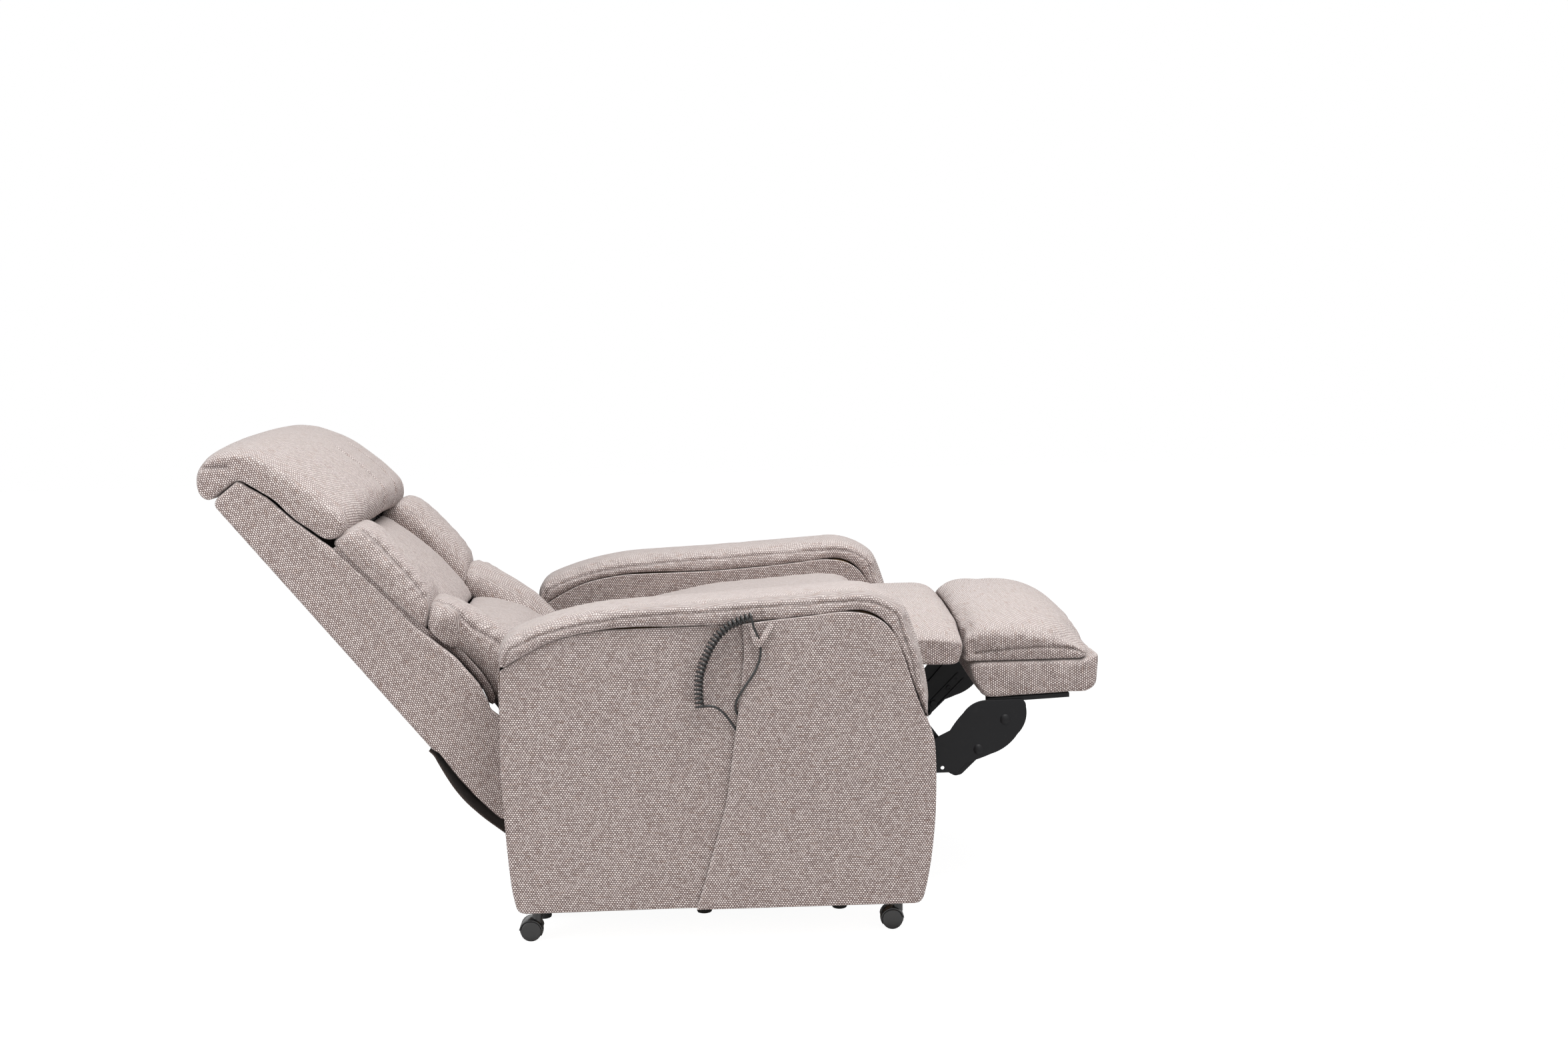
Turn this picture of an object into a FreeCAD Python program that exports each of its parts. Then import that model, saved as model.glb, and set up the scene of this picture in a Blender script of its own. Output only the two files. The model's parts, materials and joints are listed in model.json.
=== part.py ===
"""Lift recliner chair with its back down and its footrest out, in millimetres.

X runs across the chair (+X is the sitter's left), the chair faces -Y, Z is up and the floor is Z = 0.
The chair is drawn in this reclined pose. Side outlines are written as (y, z) points.
"""
import FreeCAD
import Part
import math
import os
from FreeCAD import Rotation, Vector

os.makedirs("parts", exist_ok=True)
doc = FreeCAD.newDocument("LiftRecliner")
sheet = doc.addObject("Spreadsheet::Sheet", "Sizes")

# Driving sizes: name, value, meaning
SIZES = [
    ("seat_width", 530, "clear width between the inner faces of the arms"),
    ("arm_thickness", 140, "arm, from inner face to outer face"),
    ("arm_height", 624, "highest point of the arm above the floor"),
    ("arm_length", 766, "arm, front to rear"),
    ("arm_rear", 268, "rear edge of the arm"),
    ("floor_gap", 60, "underside of the arm above the floor"),
    ("skin", 8, "upholstered inner panel"),
    ("panel", 6, "one layer of the outer panels"),
    ("rail_width", 45, "timber rails of the arm frame"),
    ("seam_gap", 1, "gap between a soft piece and the wood below it"),
    ("soft_gap", 3, "gap between the cushions and the arms"),
    ("plate", 4, "chassis side plate"),
    ("link", 5, "thickness of lift links and crank links"),
    ("link_width", 28, "width of the links"),
    ("layer_gap", 1.5, "air between two layers of the mechanism"),
    ("pin_radius", 7, "pivot pins of the links"),
    ("running_gap", 0.08, "radial clearance of a pin in its bore"),
    ("tube_radius", 12, "chassis cross tubes"),
    ("hinge_y", 205, "main pivot of seat and back"),
    ("hinge_z", 395, "main pivot of seat and back"),
    ("recline_angle", 38.7, "back against the vertical"),
    ("back_length", 670, "top of the back to the main pivot, along the back"),
    ("back_offset", 192, "main pivot in front of the rear face of the back"),
    ("back_overhang", 25, "back shell beyond the inner face of each arm"),
    ("back_depth", 128, "side wall of the back shell behind the middle of the back"),
    ("shell_length", 600, "side wall of the back shell, along the back"),
    ("wall", 12, "walls of the back shell"),
    ("centre_pad_width", 324, "middle pads of the back"),
    ("pads_top", 206, "upper end of the middle pads below the top of the back, along the back"),
    ("upper_tier", 235, "upper middle pad, along the back"),
    ("tier_gap", 4, "gap between the upper and lower back pads"),
    ("pads_end", 30, "lower end of the back pads above the main pivot, along the back"),
    ("pad_gap", 0.8, "gap between neighbouring back pads"),
    ("bolster_top", 203, "upper end of the bolsters below the top of the back, along the back"),
    ("bolster_split", 378, "joint of upper and lower bolsters below the top of the back, along the back"),
    ("headrest_margin", 2, "headrest pad inside each side of the back shell"),
    ("footrest_axis_y", -470, "centre about which the footrest folds"),
    ("footrest_axis_z", 500, "centre about which the footrest folds"),
    ("footrest_gap", 7, "footrest board and pad inside the inner face of each arm"),
    ("footrest_turn", 85, "fold of the footrest from out to stowed, degrees"),
    ("fold_radius", 100, "front of the chaise pad about the footrest axis"),
    ("pad_crown", 50, "middle of the chaise pad above its side edges"),
    ("footrest_crown", 41, "middle of the footrest pad above its side edges"),
    ("headrest_crown", 38, "middle of the headrest pad in front of its ends"),
    ("rail", 30, "base frame tubes, width and height"),
    ("foot_height", 14, "rubber feet"),
    ("foot_radius", 14, "rubber feet"),
    ("rail_margin", 10.5, "base side rails outside their uprights"),
    ("base_rear", 235, "rear end of the base frame"),
    ("base_length", 580, "base frame, front to rear"),
    ("wheel_radius", 18.5, "castor wheels"),
    ("wheel_width", 12, "one castor wheel"),
    ("castor_trail", 11, "wheel axle behind the swivel axis"),
    ("castor_inset", 85, "swivel axis from the inner face of the arm"),
    ("rod_radius", 9, "actuator rods"),
    ("outer_tube", 15, "actuator outer tubes"),
    ("lift_eye_play", 7.5, "clearance of the lift actuator's eye on its pin"),
    ("back_eye_play", 4, "clearance of the back actuator's eye on its pin"),
    ("link_play", 3.6, "clearance of the front lift links on their upper pins"),
    ("slot_play", 2.1, "clearance of the footrest pin across its slot"),
    ("slot_length", 15.5, "travel of the footrest pin along its slot"),
    ("panel_overlap", 20, "rear side panel under the free edge of the front one"),
    ("pocket_depth", 110, "side pocket behind the free edge"),
    ("cord_diameter", 4, "wire of the handset cord"),
    ("curl_diameter", 17, "outer diameter of the curls"),
    ("curls", 26.5, "number of curls"),
]
for row, (alias, value, meaning) in enumerate(SIZES, start=1):
    sheet.set("A%d" % row, meaning)
    sheet.set("B%d" % row, str(value))
    sheet.setAlias("B%d" % row, alias)
doc.recompute()


def size(alias):
    """Value of one driving size."""
    return float(sheet.get(alias))


# Derived places
HALF_SEAT = size("seat_width") / 2
HALF_BACK = HALF_SEAT + size("back_overhang")
HALF_FOOTREST = HALF_SEAT - size("footrest_gap")
ARM_OUT = HALF_SEAT + size("arm_thickness")
ARM_REAR = size("arm_rear")
ARM_FRONT = ARM_REAR - size("arm_length")
ARM_TOP = size("arm_height")
ARM_LOW = size("floor_gap")
PLATE_IN = HALF_SEAT - size("plate")
COVER_OUT = PLATE_IN - 3 * size("layer_gap")
COVER_IN = COVER_OUT - size("plate")
BRACKET_OUT = COVER_IN
BRACKET_IN = BRACKET_OUT - size("link")
CRANK_OUT = BRACKET_IN - size("layer_gap")
CRANK_IN = CRANK_OUT - size("link")
UPRIGHT_OUT = CRANK_IN - size("layer_gap")
UPRIGHT_IN = UPRIGHT_OUT - size("link")
BASE_OUT = UPRIGHT_OUT + size("rail_margin")
SEAT_OUT = UPRIGHT_IN - size("layer_gap")
SEAT_IN = SEAT_OUT - size("link")
CUSHION_HALF = HALF_SEAT - size("soft_gap")
PIN = size("pin_radius")
BORE = PIN + size("running_gap")
TUBE = size("tube_radius")
TUBE_BORE = TUBE + size("running_gap")
HINGE = (size("hinge_y"), size("hinge_z"))
FOLD = (size("footrest_axis_y"), size("footrest_axis_z"))

# Pivots of the mechanism
LIFT_BASE = (-150, 100)
LIFT_TOP = (190, 110)
LIFT_EYE = (-90, 190)
LIFT_TUBE = (-120, 165)
FRONT_BASE = (-319, 115)
FRONT_TOP = (-200, 140)
ACTUATOR_BASE = (205, 70)
BACK_MOTOR_PIVOT = (-150, 250)
BACK_EYE = (245, 265)
CRANK_PIVOT = (FOLD[0] + 18.5, FOLD[1] - 42.5)
CRANK_END = (FOLD[0] - 82, FOLD[1] - 238)
REAR_TUBE = (250, 160)
FRONT_TUBE = (-240, 195)
BACK_ACTUATOR_X = -110
FOOT_PIN = PIN - 1
EYE_PIN = 4
SEAT_GAP = 0.3


def on_back(down, out):
    """(y, z) of a point given along the back from its top and out of its rear face."""
    lean = math.radians(size("recline_angle"))
    along = down - size("back_length")
    forward = out - size("back_offset")
    return (HINGE[0] - along * math.sin(lean) - forward * math.cos(lean),
            HINGE[1] - along * math.cos(lean) + forward * math.sin(lean))


class Bend:
    """A round stretch of an outline: an arc through a middle point to its end."""

    def __init__(self, middle, end):
        self.middle = middle
        self.end = end


def shifted(outline, dy, dz):
    """The outline moved by dy, dz."""
    moved = []
    for item in outline:
        if isinstance(item, Bend):
            moved.append(Bend((item.middle[0] + dy, item.middle[1] + dz),
                              (item.end[0] + dy, item.end[1] + dz)))
        else:
            moved.append((item[0] + dy, item[1] + dz))
    return moved


def rounded(points, radius):
    """A closed outline through the points with each corner rounded; one radius, or one for each corner."""
    count = len(points)
    radii = radius if isinstance(radius, (list, tuple)) else [radius] * count
    outline = []
    for index, point in enumerate(points):
        before = Vector(*points[index - 1], 0)
        after = Vector(*points[(index + 1) % count], 0)
        corner = Vector(*point, 0)
        to_before = (before - corner).normalize()
        to_after = (after - corner).normalize()
        half = to_before.getAngle(to_after) / 2
        reach = min(radii[index] / math.tan(half), 0.49 * (before - corner).Length,
                    0.49 * (after - corner).Length)
        used = reach * math.tan(half)
        start = corner + to_before * reach
        end = corner + to_after * reach
        middle = corner + (to_before + to_after).normalize() * (used / math.sin(half) - used)
        outline.append((start.x, start.y))
        outline.append(Bend((middle.x, middle.y), (end.x, end.y)))
    return outline


def curves_of(outline, to_space):
    """Line and arc curves of a closed outline, each point put in space by to_space."""
    curves = []
    first = outline[0]
    here = first
    for item in outline[1:] + [first]:
        if isinstance(item, Bend):
            curves.append(Part.Arc(to_space(here), to_space(item.middle), to_space(item.end)))
            here = item.end
        else:
            if (to_space(here) - to_space(item)).Length > 1e-4:
                curves.append(Part.LineSegment(to_space(here), to_space(item)))
            here = item
    return curves


def side_wire(outline, x):
    """Closed wire of a side outline at one X."""
    return Part.Wire([curve.toShape() for curve in curves_of(outline, lambda p: Vector(x, p[0], p[1]))])


def bind(item, **expressions):
    """Bind properties of an object to expressions of the sheet."""
    for name, text in expressions.items():
        item.setExpression(name, text)


def add(kind, label):
    """New object of the document with a label."""
    item = doc.addObject(kind, label)
    item.Label = label
    return item


def box(label, low, high):
    """Box between two corners; each coordinate is a number or an expression of the sheet."""
    item = add("Part::Box", label)
    texts_low = [str(value) for value in low]
    texts_high = [str(value) for value in high]
    for axis, text in zip("xyz", texts_low):
        item.setExpression("Placement.Base.%s" % axis, text)
    for name, start, end in zip(("Length", "Width", "Height"), texts_low, texts_high):
        item.setExpression(name, "(%s) - (%s)" % (end, start))
    return item


def rod(label, radius, x_low, x_high, point):
    """Round bar along X between two X values, its axis through a (y, z) point."""
    item = add("Part::Cylinder", label)
    item.Placement = FreeCAD.Placement(Vector(0, point[0], point[1]), Rotation(Vector(0, 1, 0), 90))
    bind(item, Radius=str(radius), Height="(%s) - (%s)" % (x_high, x_low))
    item.setExpression("Placement.Base.x", str(x_low))
    return item


def post(label, radius, height, x, y, z):
    """Round bar along Z."""
    item = add("Part::Cylinder", label)
    bind(item, Radius=str(radius), Height=str(height))
    for axis, value in zip("xyz", (x, y, z)):
        item.setExpression("Placement.Base.%s" % axis, str(value))
    return item


def fused(label, items):
    """One solid made of the items."""
    item = add("Part::MultiFuse", label)
    item.Shapes = items
    return item


def group(label, items):
    """Identical pieces kept as separate solids."""
    item = add("Part::Compound", label)
    item.Links = items
    return item


def cut(label, base, tool):
    """The base less the tool."""
    item = add("Part::Cut", label)
    item.Base = base
    item.Tool = tool
    return item


def mirrored(label, source):
    """The same piece on the other side of the middle plane."""
    item = add("Part::Mirroring", label)
    item.Source = source
    item.Normal = Vector(1, 0, 0)
    return item


def origin_plane(body, role):
    """Origin plane of a body by its role."""
    return [item for item in body.Origin.OriginFeatures if item.Role == role][0]


def add_outline(sketch, outline):
    """Put a closed outline into a sketch."""
    for curve in curves_of(outline, lambda p: Vector(p[0], p[1], 0)):
        sketch.addGeometry(curve, False)


def side_plate(label, outline, x_low, x_high, holes=()):
    """Flat piece with a side outline, from x_low to x_high; holes are (point, radius)."""
    body = add("PartDesign::Body", label)
    sketch = body.newObject("Sketcher::SketchObject", label + "_outline")
    sketch.AttachmentSupport = [(origin_plane(body, "YZ_Plane"), "")]
    sketch.MapMode = "FlatFace"
    sketch.setExpression("AttachmentOffset.Base.z", str(x_low))
    add_outline(sketch, outline)
    for point, radius in holes:
        sketch.addGeometry(Part.Circle(Vector(point[0], point[1], 0), Vector(0, 0, 1), radius), False)
    pad = body.newObject("PartDesign::Pad", label + "_pad")
    pad.Profile = sketch
    pad.setExpression("Length", "(%s) - (%s)" % (x_high, x_low))
    body.Tip = pad
    return body


def link_outline(first, second, width):
    """Straight link with round ends about two pivots."""
    start = Vector(first[0], first[1], 0)
    end = Vector(second[0], second[1], 0)
    along = (end - start).normalize()
    across = Vector(-along.y, along.x, 0) * (width / 2)
    cap = along * (width / 2)
    corners = [start + across, end + across, end + cap, end - across, start - across, start - cap]
    flat = [(corner.x, corner.y) for corner in corners]
    return [flat[0], flat[1], Bend(flat[2], flat[3]), flat[4], Bend(flat[5], flat[0])]


def soft_form(label, sections):
    """Closed soft solid through wires."""
    item = add("Part::Feature", label)
    item.Shape = Part.makeLoft(sections, True, True)
    return item


# A cushion's outline shrinks towards its base point near both ends: (place across, share kept)
CUSHION_STATIONS = ((-1, 0.86), (-0.97, 0.93), (-0.86, 0.975), (-0.5, 0.993), (0, 1),
                    (0.5, 0.993), (0.86, 0.975), (0.97, 0.93), (1, 0.86))


# Share of the crown that is lost from the middle of a pad to its ends: (place across, share)
CROWN_STATIONS = ((-1, 1.16), (-0.97, 1), (-0.9, 0.8), (-0.78, 0.55), (-0.6, 0.29), (-0.35, 0.08), (0, 0),
                  (0.35, 0.08), (0.6, 0.29), (0.78, 0.55), (0.9, 0.8), (0.97, 1), (1, 1.16))


def cushion(label, points, radii, base, x_low, x_high):
    """Cushion with a crown: an outline across the chair that shrinks towards base at both ends."""
    sections = []
    middle = (x_low + x_high) / 2
    reach = (x_high - x_low) / 2
    for place, kept in CUSHION_STATIONS:
        scaled = [(base[0] + (y - base[0]) * kept, base[1] + (z - base[1]) * kept) for y, z in points]
        sections.append(side_wire(rounded(scaled, [radius * kept for radius in radii]),
                                  middle + reach * place))
    return soft_form(label, sections)


def base_frame():
    """Welded frame on the floor: side rails, cross tubes, uprights with pins, lugs of the lift actuator."""
    low = "Sizes.foot_height"
    high = "Sizes.foot_height + Sizes.rail"
    front = "Sizes.base_rear - Sizes.base_length"
    inside = BASE_OUT - size("rail")
    items = []
    for side, x_low, x_high in (("right", -BASE_OUT, -inside), ("left", inside, BASE_OUT)):
        items.append(box("base_rail_" + side, (x_low, front, low), (x_high, "Sizes.base_rear", high)))
    items.append(box("base_cross_front", (-BASE_OUT, front, low), (BASE_OUT, front + " + Sizes.rail", high)))
    items.append(box("base_cross_rear", (-BASE_OUT, "Sizes.base_rear - Sizes.rail", low),
                     (BASE_OUT, "Sizes.base_rear", high)))
    foot = size("foot_height") + 10
    for name, pivot in (("front", FRONT_BASE), ("rear", LIFT_BASE)):
        outline = rounded([(pivot[0] - 13, foot), (pivot[0] + 13, foot), (pivot[0] + 13, pivot[1] + 13),
                           (pivot[0] - 13, pivot[1] + 13)], [1, 1, 12, 12])
        upright = side_plate("base_upright_" + name, outline, -UPRIGHT_OUT, -UPRIGHT_IN)
        pin = rod("base_pin_" + name, "Sizes.pin_radius", -CRANK_OUT - 1, -UPRIGHT_IN, pivot)
        items += [upright, pin, mirrored("base_upright_%s_left" % name, upright),
                  mirrored("base_pin_%s_left" % name, pin)]
    pivot = ACTUATOR_BASE
    lug = rounded([(pivot[0] - 11, foot), (pivot[0] + 22, foot), (pivot[0] + 12, pivot[1] + 12),
                   (pivot[0] - 12, pivot[1] + 12)], [1, 1, 11, 11])
    for name, x in (("right", -20), ("left", 14)):
        items.append(side_plate("actuator_lug_" + name, lug, x, x + 6))
    items.append(rod("actuator_base_pin", 5, -20, 20, pivot))
    return fused("base_frame", items)


def base_feet():
    """Rubber feet under the base rails."""
    feet = []
    x = BASE_OUT - size("rail") / 2
    for number, y in enumerate((-332, -79, 220)):
        for side in (-1, 1):
            feet.append(post("foot_%d_%d" % (number, side + 1), "Sizes.foot_radius", "Sizes.foot_height",
                             side * x, y, 0))
    return group("base_feet", feet)


def lift_arm():
    """Rear lift links welded to a cross tube, with the ears that the actuator pushes."""
    corners = [(LIFT_BASE[0] - 17, LIFT_BASE[1] - 14), (LIFT_TOP[0] + 17, LIFT_TOP[1] - 14),
               (LIFT_TOP[0] + 17, LIFT_TOP[1] + 16), (LIFT_TUBE[0] + 45, LIFT_TUBE[1] - 25),
               (LIFT_TUBE[0] + 18, LIFT_TUBE[1] + 18), (LIFT_TUBE[0] - 18, LIFT_TUBE[1] + 18)]
    side = side_plate("lift_side", rounded(corners, [13, 13, 13, 20, 15, 15]), -CRANK_OUT, -CRANK_IN,
                      [(LIFT_BASE, BORE), (LIFT_TOP, BORE)])
    items = [side, mirrored("lift_side_left", side)]
    items.append(rod("lift_tube", "Sizes.tube_radius", -CRANK_IN, CRANK_IN, LIFT_TUBE))
    ear = link_outline(LIFT_TUBE, LIFT_EYE, 20)
    for name, x in (("right", -14), ("left", 9)):
        items.append(side_plate("lift_ear_" + name, ear, x, x + 5))
    items.append(rod("lift_eye_pin", EYE_PIN, -14, 14, LIFT_EYE))
    return fused("lift_arm", items)


def front_lift_links():
    """Front lift links, joined by a rod."""
    side = side_plate("front_link_side", link_outline(FRONT_BASE, FRONT_TOP, size("link_width")),
                      -CRANK_OUT, -CRANK_IN,
                      [(FRONT_BASE, BORE), (FRONT_TOP, PIN + size("link_play"))])
    middle = ((FRONT_BASE[0] + FRONT_TOP[0]) / 2, (FRONT_BASE[1] + FRONT_TOP[1]) / 2)
    tie = rod("front_link_tie", 8, -CRANK_IN, CRANK_IN, middle)
    return fused("front_lift_links", [side, mirrored("front_link_side_left", side), tie])


def chassis_plate():
    """Right side plate of the chassis with the pins of the lift links."""
    corners = [(-300, 90), (ARM_REAR - 23, 90), (ARM_REAR - 23, HINGE[1] + 35),
               (HINGE[0] - 40, HINGE[1] + 35), (HINGE[0] - 90, 320), (-300, 320)]
    plate = side_plate("chassis_side", rounded(corners, [20, 20, 25, 25, 40, 30]), -HALF_SEAT, -PLATE_IN)
    pins = [rod("chassis_pin_" + name, "Sizes.pin_radius", -PLATE_IN - 1, -UPRIGHT_OUT - 1, pivot)
            for name, pivot in (("front", FRONT_TOP), ("rear", LIFT_TOP))]
    return fused("chassis_plate_right", [plate] + pins)


def chassis_cross_tubes():
    """Main pivot tube and the three tubes that tie the side plates; ears for the back motor."""
    tubes = [rod("chassis_tube_%d" % number, "Sizes.tube_radius", -PLATE_IN, PLATE_IN, point)
             for number, point in enumerate((HINGE, REAR_TUBE, FRONT_TUBE))]
    seat_to_tube = (BACK_MOTOR_PIVOT[0] - 34, BACK_MOTOR_PIVOT[1])
    motor_tube = rod("chassis_tube_motor", "Sizes.tube_radius", -PLATE_IN, PLATE_IN, seat_to_tube)
    ears = [motor_tube]
    ear = link_outline(seat_to_tube, BACK_MOTOR_PIVOT, 22)
    for name, x in (("right", BACK_ACTUATOR_X - 14), ("left", BACK_ACTUATOR_X + 9)):
        ears.append(side_plate("back_motor_ear_" + name, ear, x, x + 5))
    ears.append(rod("back_motor_pin", 5, BACK_ACTUATOR_X - 14, BACK_ACTUATOR_X + 14, BACK_MOTOR_PIVOT))
    return group("chassis_cross_tubes", tubes + [fused("motor_cross_tube", ears)])


def seam_line():
    """Lower seam of the border band on the side of the arm, front to rear."""
    return [(ARM_FRONT + 12, ARM_TOP - 238),
            Bend((ARM_FRONT + 43, ARM_TOP - 151), (ARM_FRONT + 73, ARM_TOP - 72)),
            Bend((ARM_FRONT + 103, ARM_TOP - 42), (ARM_FRONT + 152, ARM_TOP - 36)),
            Bend((ARM_FRONT + 292, ARM_TOP - 49), (ARM_REAR - 300, ARM_TOP - 55)),
            Bend((ARM_REAR - 178, ARM_TOP - 58), (ARM_REAR - 108, ARM_TOP - 71)),
            Bend((ARM_REAR - 53, ARM_TOP - 96), (ARM_REAR - 6, ARM_TOP - 124))]


def band_outline(draw):
    """Border band: its outer edge from rear to front, drawn in by draw, then back along its seam."""
    crown = [(ARM_REAR - 2 - draw * 0.6, ARM_TOP - 116),
             Bend((ARM_REAR - 11 - draw, ARM_TOP - 77 - draw * 0.6),
                  (ARM_REAR - 38 - draw * 0.5, ARM_TOP - 59 - draw)),
             Bend((ARM_REAR - 138, ARM_TOP - 30 - draw), (ARM_REAR - 241, ARM_TOP - 19 - draw)),
             Bend((ARM_FRONT + 348, ARM_TOP - 11 - draw), (ARM_FRONT + 159, ARM_TOP - draw)),
             Bend((ARM_FRONT + 85 + draw * 0.5, ARM_TOP - 11 - draw),
                  (ARM_FRONT + 50 + draw, ARM_TOP - 35 - draw)),
             Bend((ARM_FRONT + 24 + draw, ARM_TOP - 117), (ARM_FRONT + 10, ARM_TOP - 234))]
    return crown + seam_line()


def arm_pad():
    """Padded border band over the top and down the front of the right arm, crowned across."""
    middle = (HALF_SEAT + ARM_OUT) / 2
    half = (ARM_OUT - HALF_SEAT) / 2
    sections = []
    for place, draw in ((-1, 15), (-0.93, 8), (-0.75, 3), (-0.35, 0.5), (0, 0),
                        (0.35, 0.5), (0.75, 3), (0.93, 8), (1, 15)):
        sections.append(side_wire(band_outline(draw), -middle + half * place))
    return soft_form("arm_pad_right", sections)


def arm_outline(inset, lift):
    """Side of the arm below the band, drawn in by inset, its underside raised by lift."""
    seam = shifted(seam_line(), inset * 0.5, -size("seam_gap") - inset)
    front = ARM_FRONT + inset
    rear = ARM_REAR - inset
    low = ARM_LOW + lift
    start = seam[0]
    end = seam[-1].end
    return seam + [(rear - 2, end[1] - 4),
                   Bend((rear, low + 270), (rear - 11, low + 52)),
                   Bend((rear - 17, low + 19), (rear - 36, low)),
                   (front + 43, low),
                   Bend((front + 29, low + 6), (front + 22, low + 24)),
                   Bend((front + 3, low + 150), (front, low + 267)),
                   Bend((front + 2, low + 297), (start[0] - inset * 0.3, start[1]))]


def arm_frame():
    """Timber ring of the right arm: rails around an open window."""
    outline = arm_outline(2, 0)
    rail = size("rail_width")
    window = rounded([(ARM_REAR - rail - 4, ARM_LOW + rail), (ARM_REAR - rail - 4, ARM_TOP - 190),
                      (ARM_REAR - 150, ARM_TOP - 72 - rail), (ARM_FRONT + 150, ARM_TOP - 55 - rail),
                      (ARM_FRONT + rail + 22, ARM_TOP - 220), (ARM_FRONT + rail + 22, ARM_LOW + rail)], 20)
    body = side_plate("arm_frame_right", outline, "-(Sizes.seat_width / 2 + Sizes.arm_thickness) + 17",
                      "-(Sizes.seat_width / 2) - Sizes.skin")
    sketch = body.newObject("Sketcher::SketchObject", "arm_window_outline")
    sketch.AttachmentSupport = [(origin_plane(body, "YZ_Plane"), "")]
    sketch.MapMode = "FlatFace"
    add_outline(sketch, window)
    pocket = body.newObject("PartDesign::Pocket", "arm_window")
    pocket.Profile = sketch
    pocket.Type = 1
    pocket.Midplane = True
    body.Tip = pocket
    return body


def slant_line():
    """Free edge of the front side panel, from the band down to the underside."""
    return [(ARM_FRONT + 335, ARM_TOP - 56), (ARM_FRONT + 333, ARM_TOP - 110),
            (ARM_FRONT + 345, ARM_TOP - 204), (ARM_FRONT + 370, ARM_TOP - 365),
            (ARM_FRONT + 397, ARM_TOP - 461), (ARM_FRONT + 429, ARM_LOW - 1)]


def side_of_slant(behind, overlap):
    """Region of the side plane in front of, or behind, the free edge moved forward by overlap."""
    edge = [(y - overlap, z) for y, z in slant_line()]
    edge[0] = (edge[0][0], ARM_TOP + 10)
    edge[-1] = (edge[-1][0], ARM_LOW - 10)
    far = ARM_REAR + 50 if behind else ARM_FRONT - 50
    return edge + [(far, ARM_LOW - 10), (far, ARM_TOP + 10)]


def panel_piece(label, x_out, x_in, behind, overlap):
    """Part of the arm's side on one side of the free edge."""
    whole = side_plate(label + "_whole", arm_outline(0, 0), -x_out, -x_in)
    region = side_plate(label + "_region", side_of_slant(behind, overlap), -x_out - 1, -x_in + 1)
    item = add("Part::Common", label)
    item.Base = whole
    item.Tool = region
    return item


def outer_panels():
    """Rear side panel, and the front side panel whose free edge is the mouth of the side pocket."""
    inner_face = ARM_OUT - 17
    layer = size("panel")
    rear = panel_piece("outer_panel_rear_right", inner_face + layer, inner_face, True, size("panel_overlap"))
    skin = panel_piece("front_panel_skin", inner_face + 3 * layer, inner_face + 2 * layer, False, 0)
    core = panel_piece("front_panel_core", inner_face + 2 * layer, inner_face, False,
                       size("pocket_depth"))
    return rear, fused("outer_panel_front_right", [skin, core])


def castor(corner, side, swivel_y):
    """Swivel plate, hood and twin wheels of one castor, modelled at its corner of the chair."""
    x = side * (HALF_SEAT + size("castor_inset"))
    radius = size("wheel_radius")
    axle = (swivel_y + size("castor_trail"), radius)
    name = "castor_" + corner
    plate = box(name + "_plate_flat", (x - 22, swivel_y - 22, "Sizes.floor_gap - 4"),
                (x + 22, swivel_y + 22, "Sizes.floor_gap"))
    hole = post(name + "_plate_hole", 5 + size("running_gap"), 10, x, swivel_y, "Sizes.floor_gap - 6")
    plate_cut = cut(name + "_plate", plate, hole)
    half = size("wheel_width") + 5
    hub = rod(name + "_hub", radius + 2.6, x - 4, x + 4, axle)
    cap = rod(name + "_cap", radius + 2.6, x - half, x + half, axle)
    bore = rod(name + "_cap_bore", radius + 0.8, x - half - 1, x + half + 1, axle)
    shell = cut(name + "_shell", cap, bore)
    lower = box(name + "_lower", (x - half - 2, axle[0] - 40, -10), (x + half + 2, axle[0] + 40, radius + 3))
    roof = cut(name + "_roof", shell, lower)
    ground = box(name + "_ground", (x - 10, axle[0] - 40, -10), (x + 10, axle[0] + 40, 6))
    hub_cut = cut(name + "_hub_cut", hub, ground)
    stem = post(name + "_stem", 5, "Sizes.floor_gap - 1 - 20", x, swivel_y, 20)
    boss = post(name + "_boss", 9, size("floor_gap") - 8 - 30, x, swivel_y, 30)
    body = fused(name + "_body", [hub_cut, roof, stem, boss])
    axle_hole = rod(name + "_axle_hole", 3 + size("running_gap"), x - 20, x + 20, axle)
    wheel_room = []
    for word, near in (("a", x - half + 0.4), ("b", x + 4.5)):
        wheel_room.append(rod(name + "_room_" + word, radius + 0.8, near - 0.4,
                              near + size("wheel_width") + 0.4, axle))
    hood = cut("castor_hood_" + corner, body, fused(name + "_rooms", [axle_hole] + wheel_room))
    wheels = []
    for word, near in (("a", x - half + 0.6), ("b", x + 4.7)):
        wheels.append(rod(name + "_wheel_" + word, "Sizes.wheel_radius", near,
                          near + size("wheel_width") - 0.4, axle))
    wheels.append(rod(name + "_axle", 3, x - half + 1, x + half - 1, axle))
    return plate_cut, hood, fused("castor_wheels_" + corner, wheels)


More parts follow.
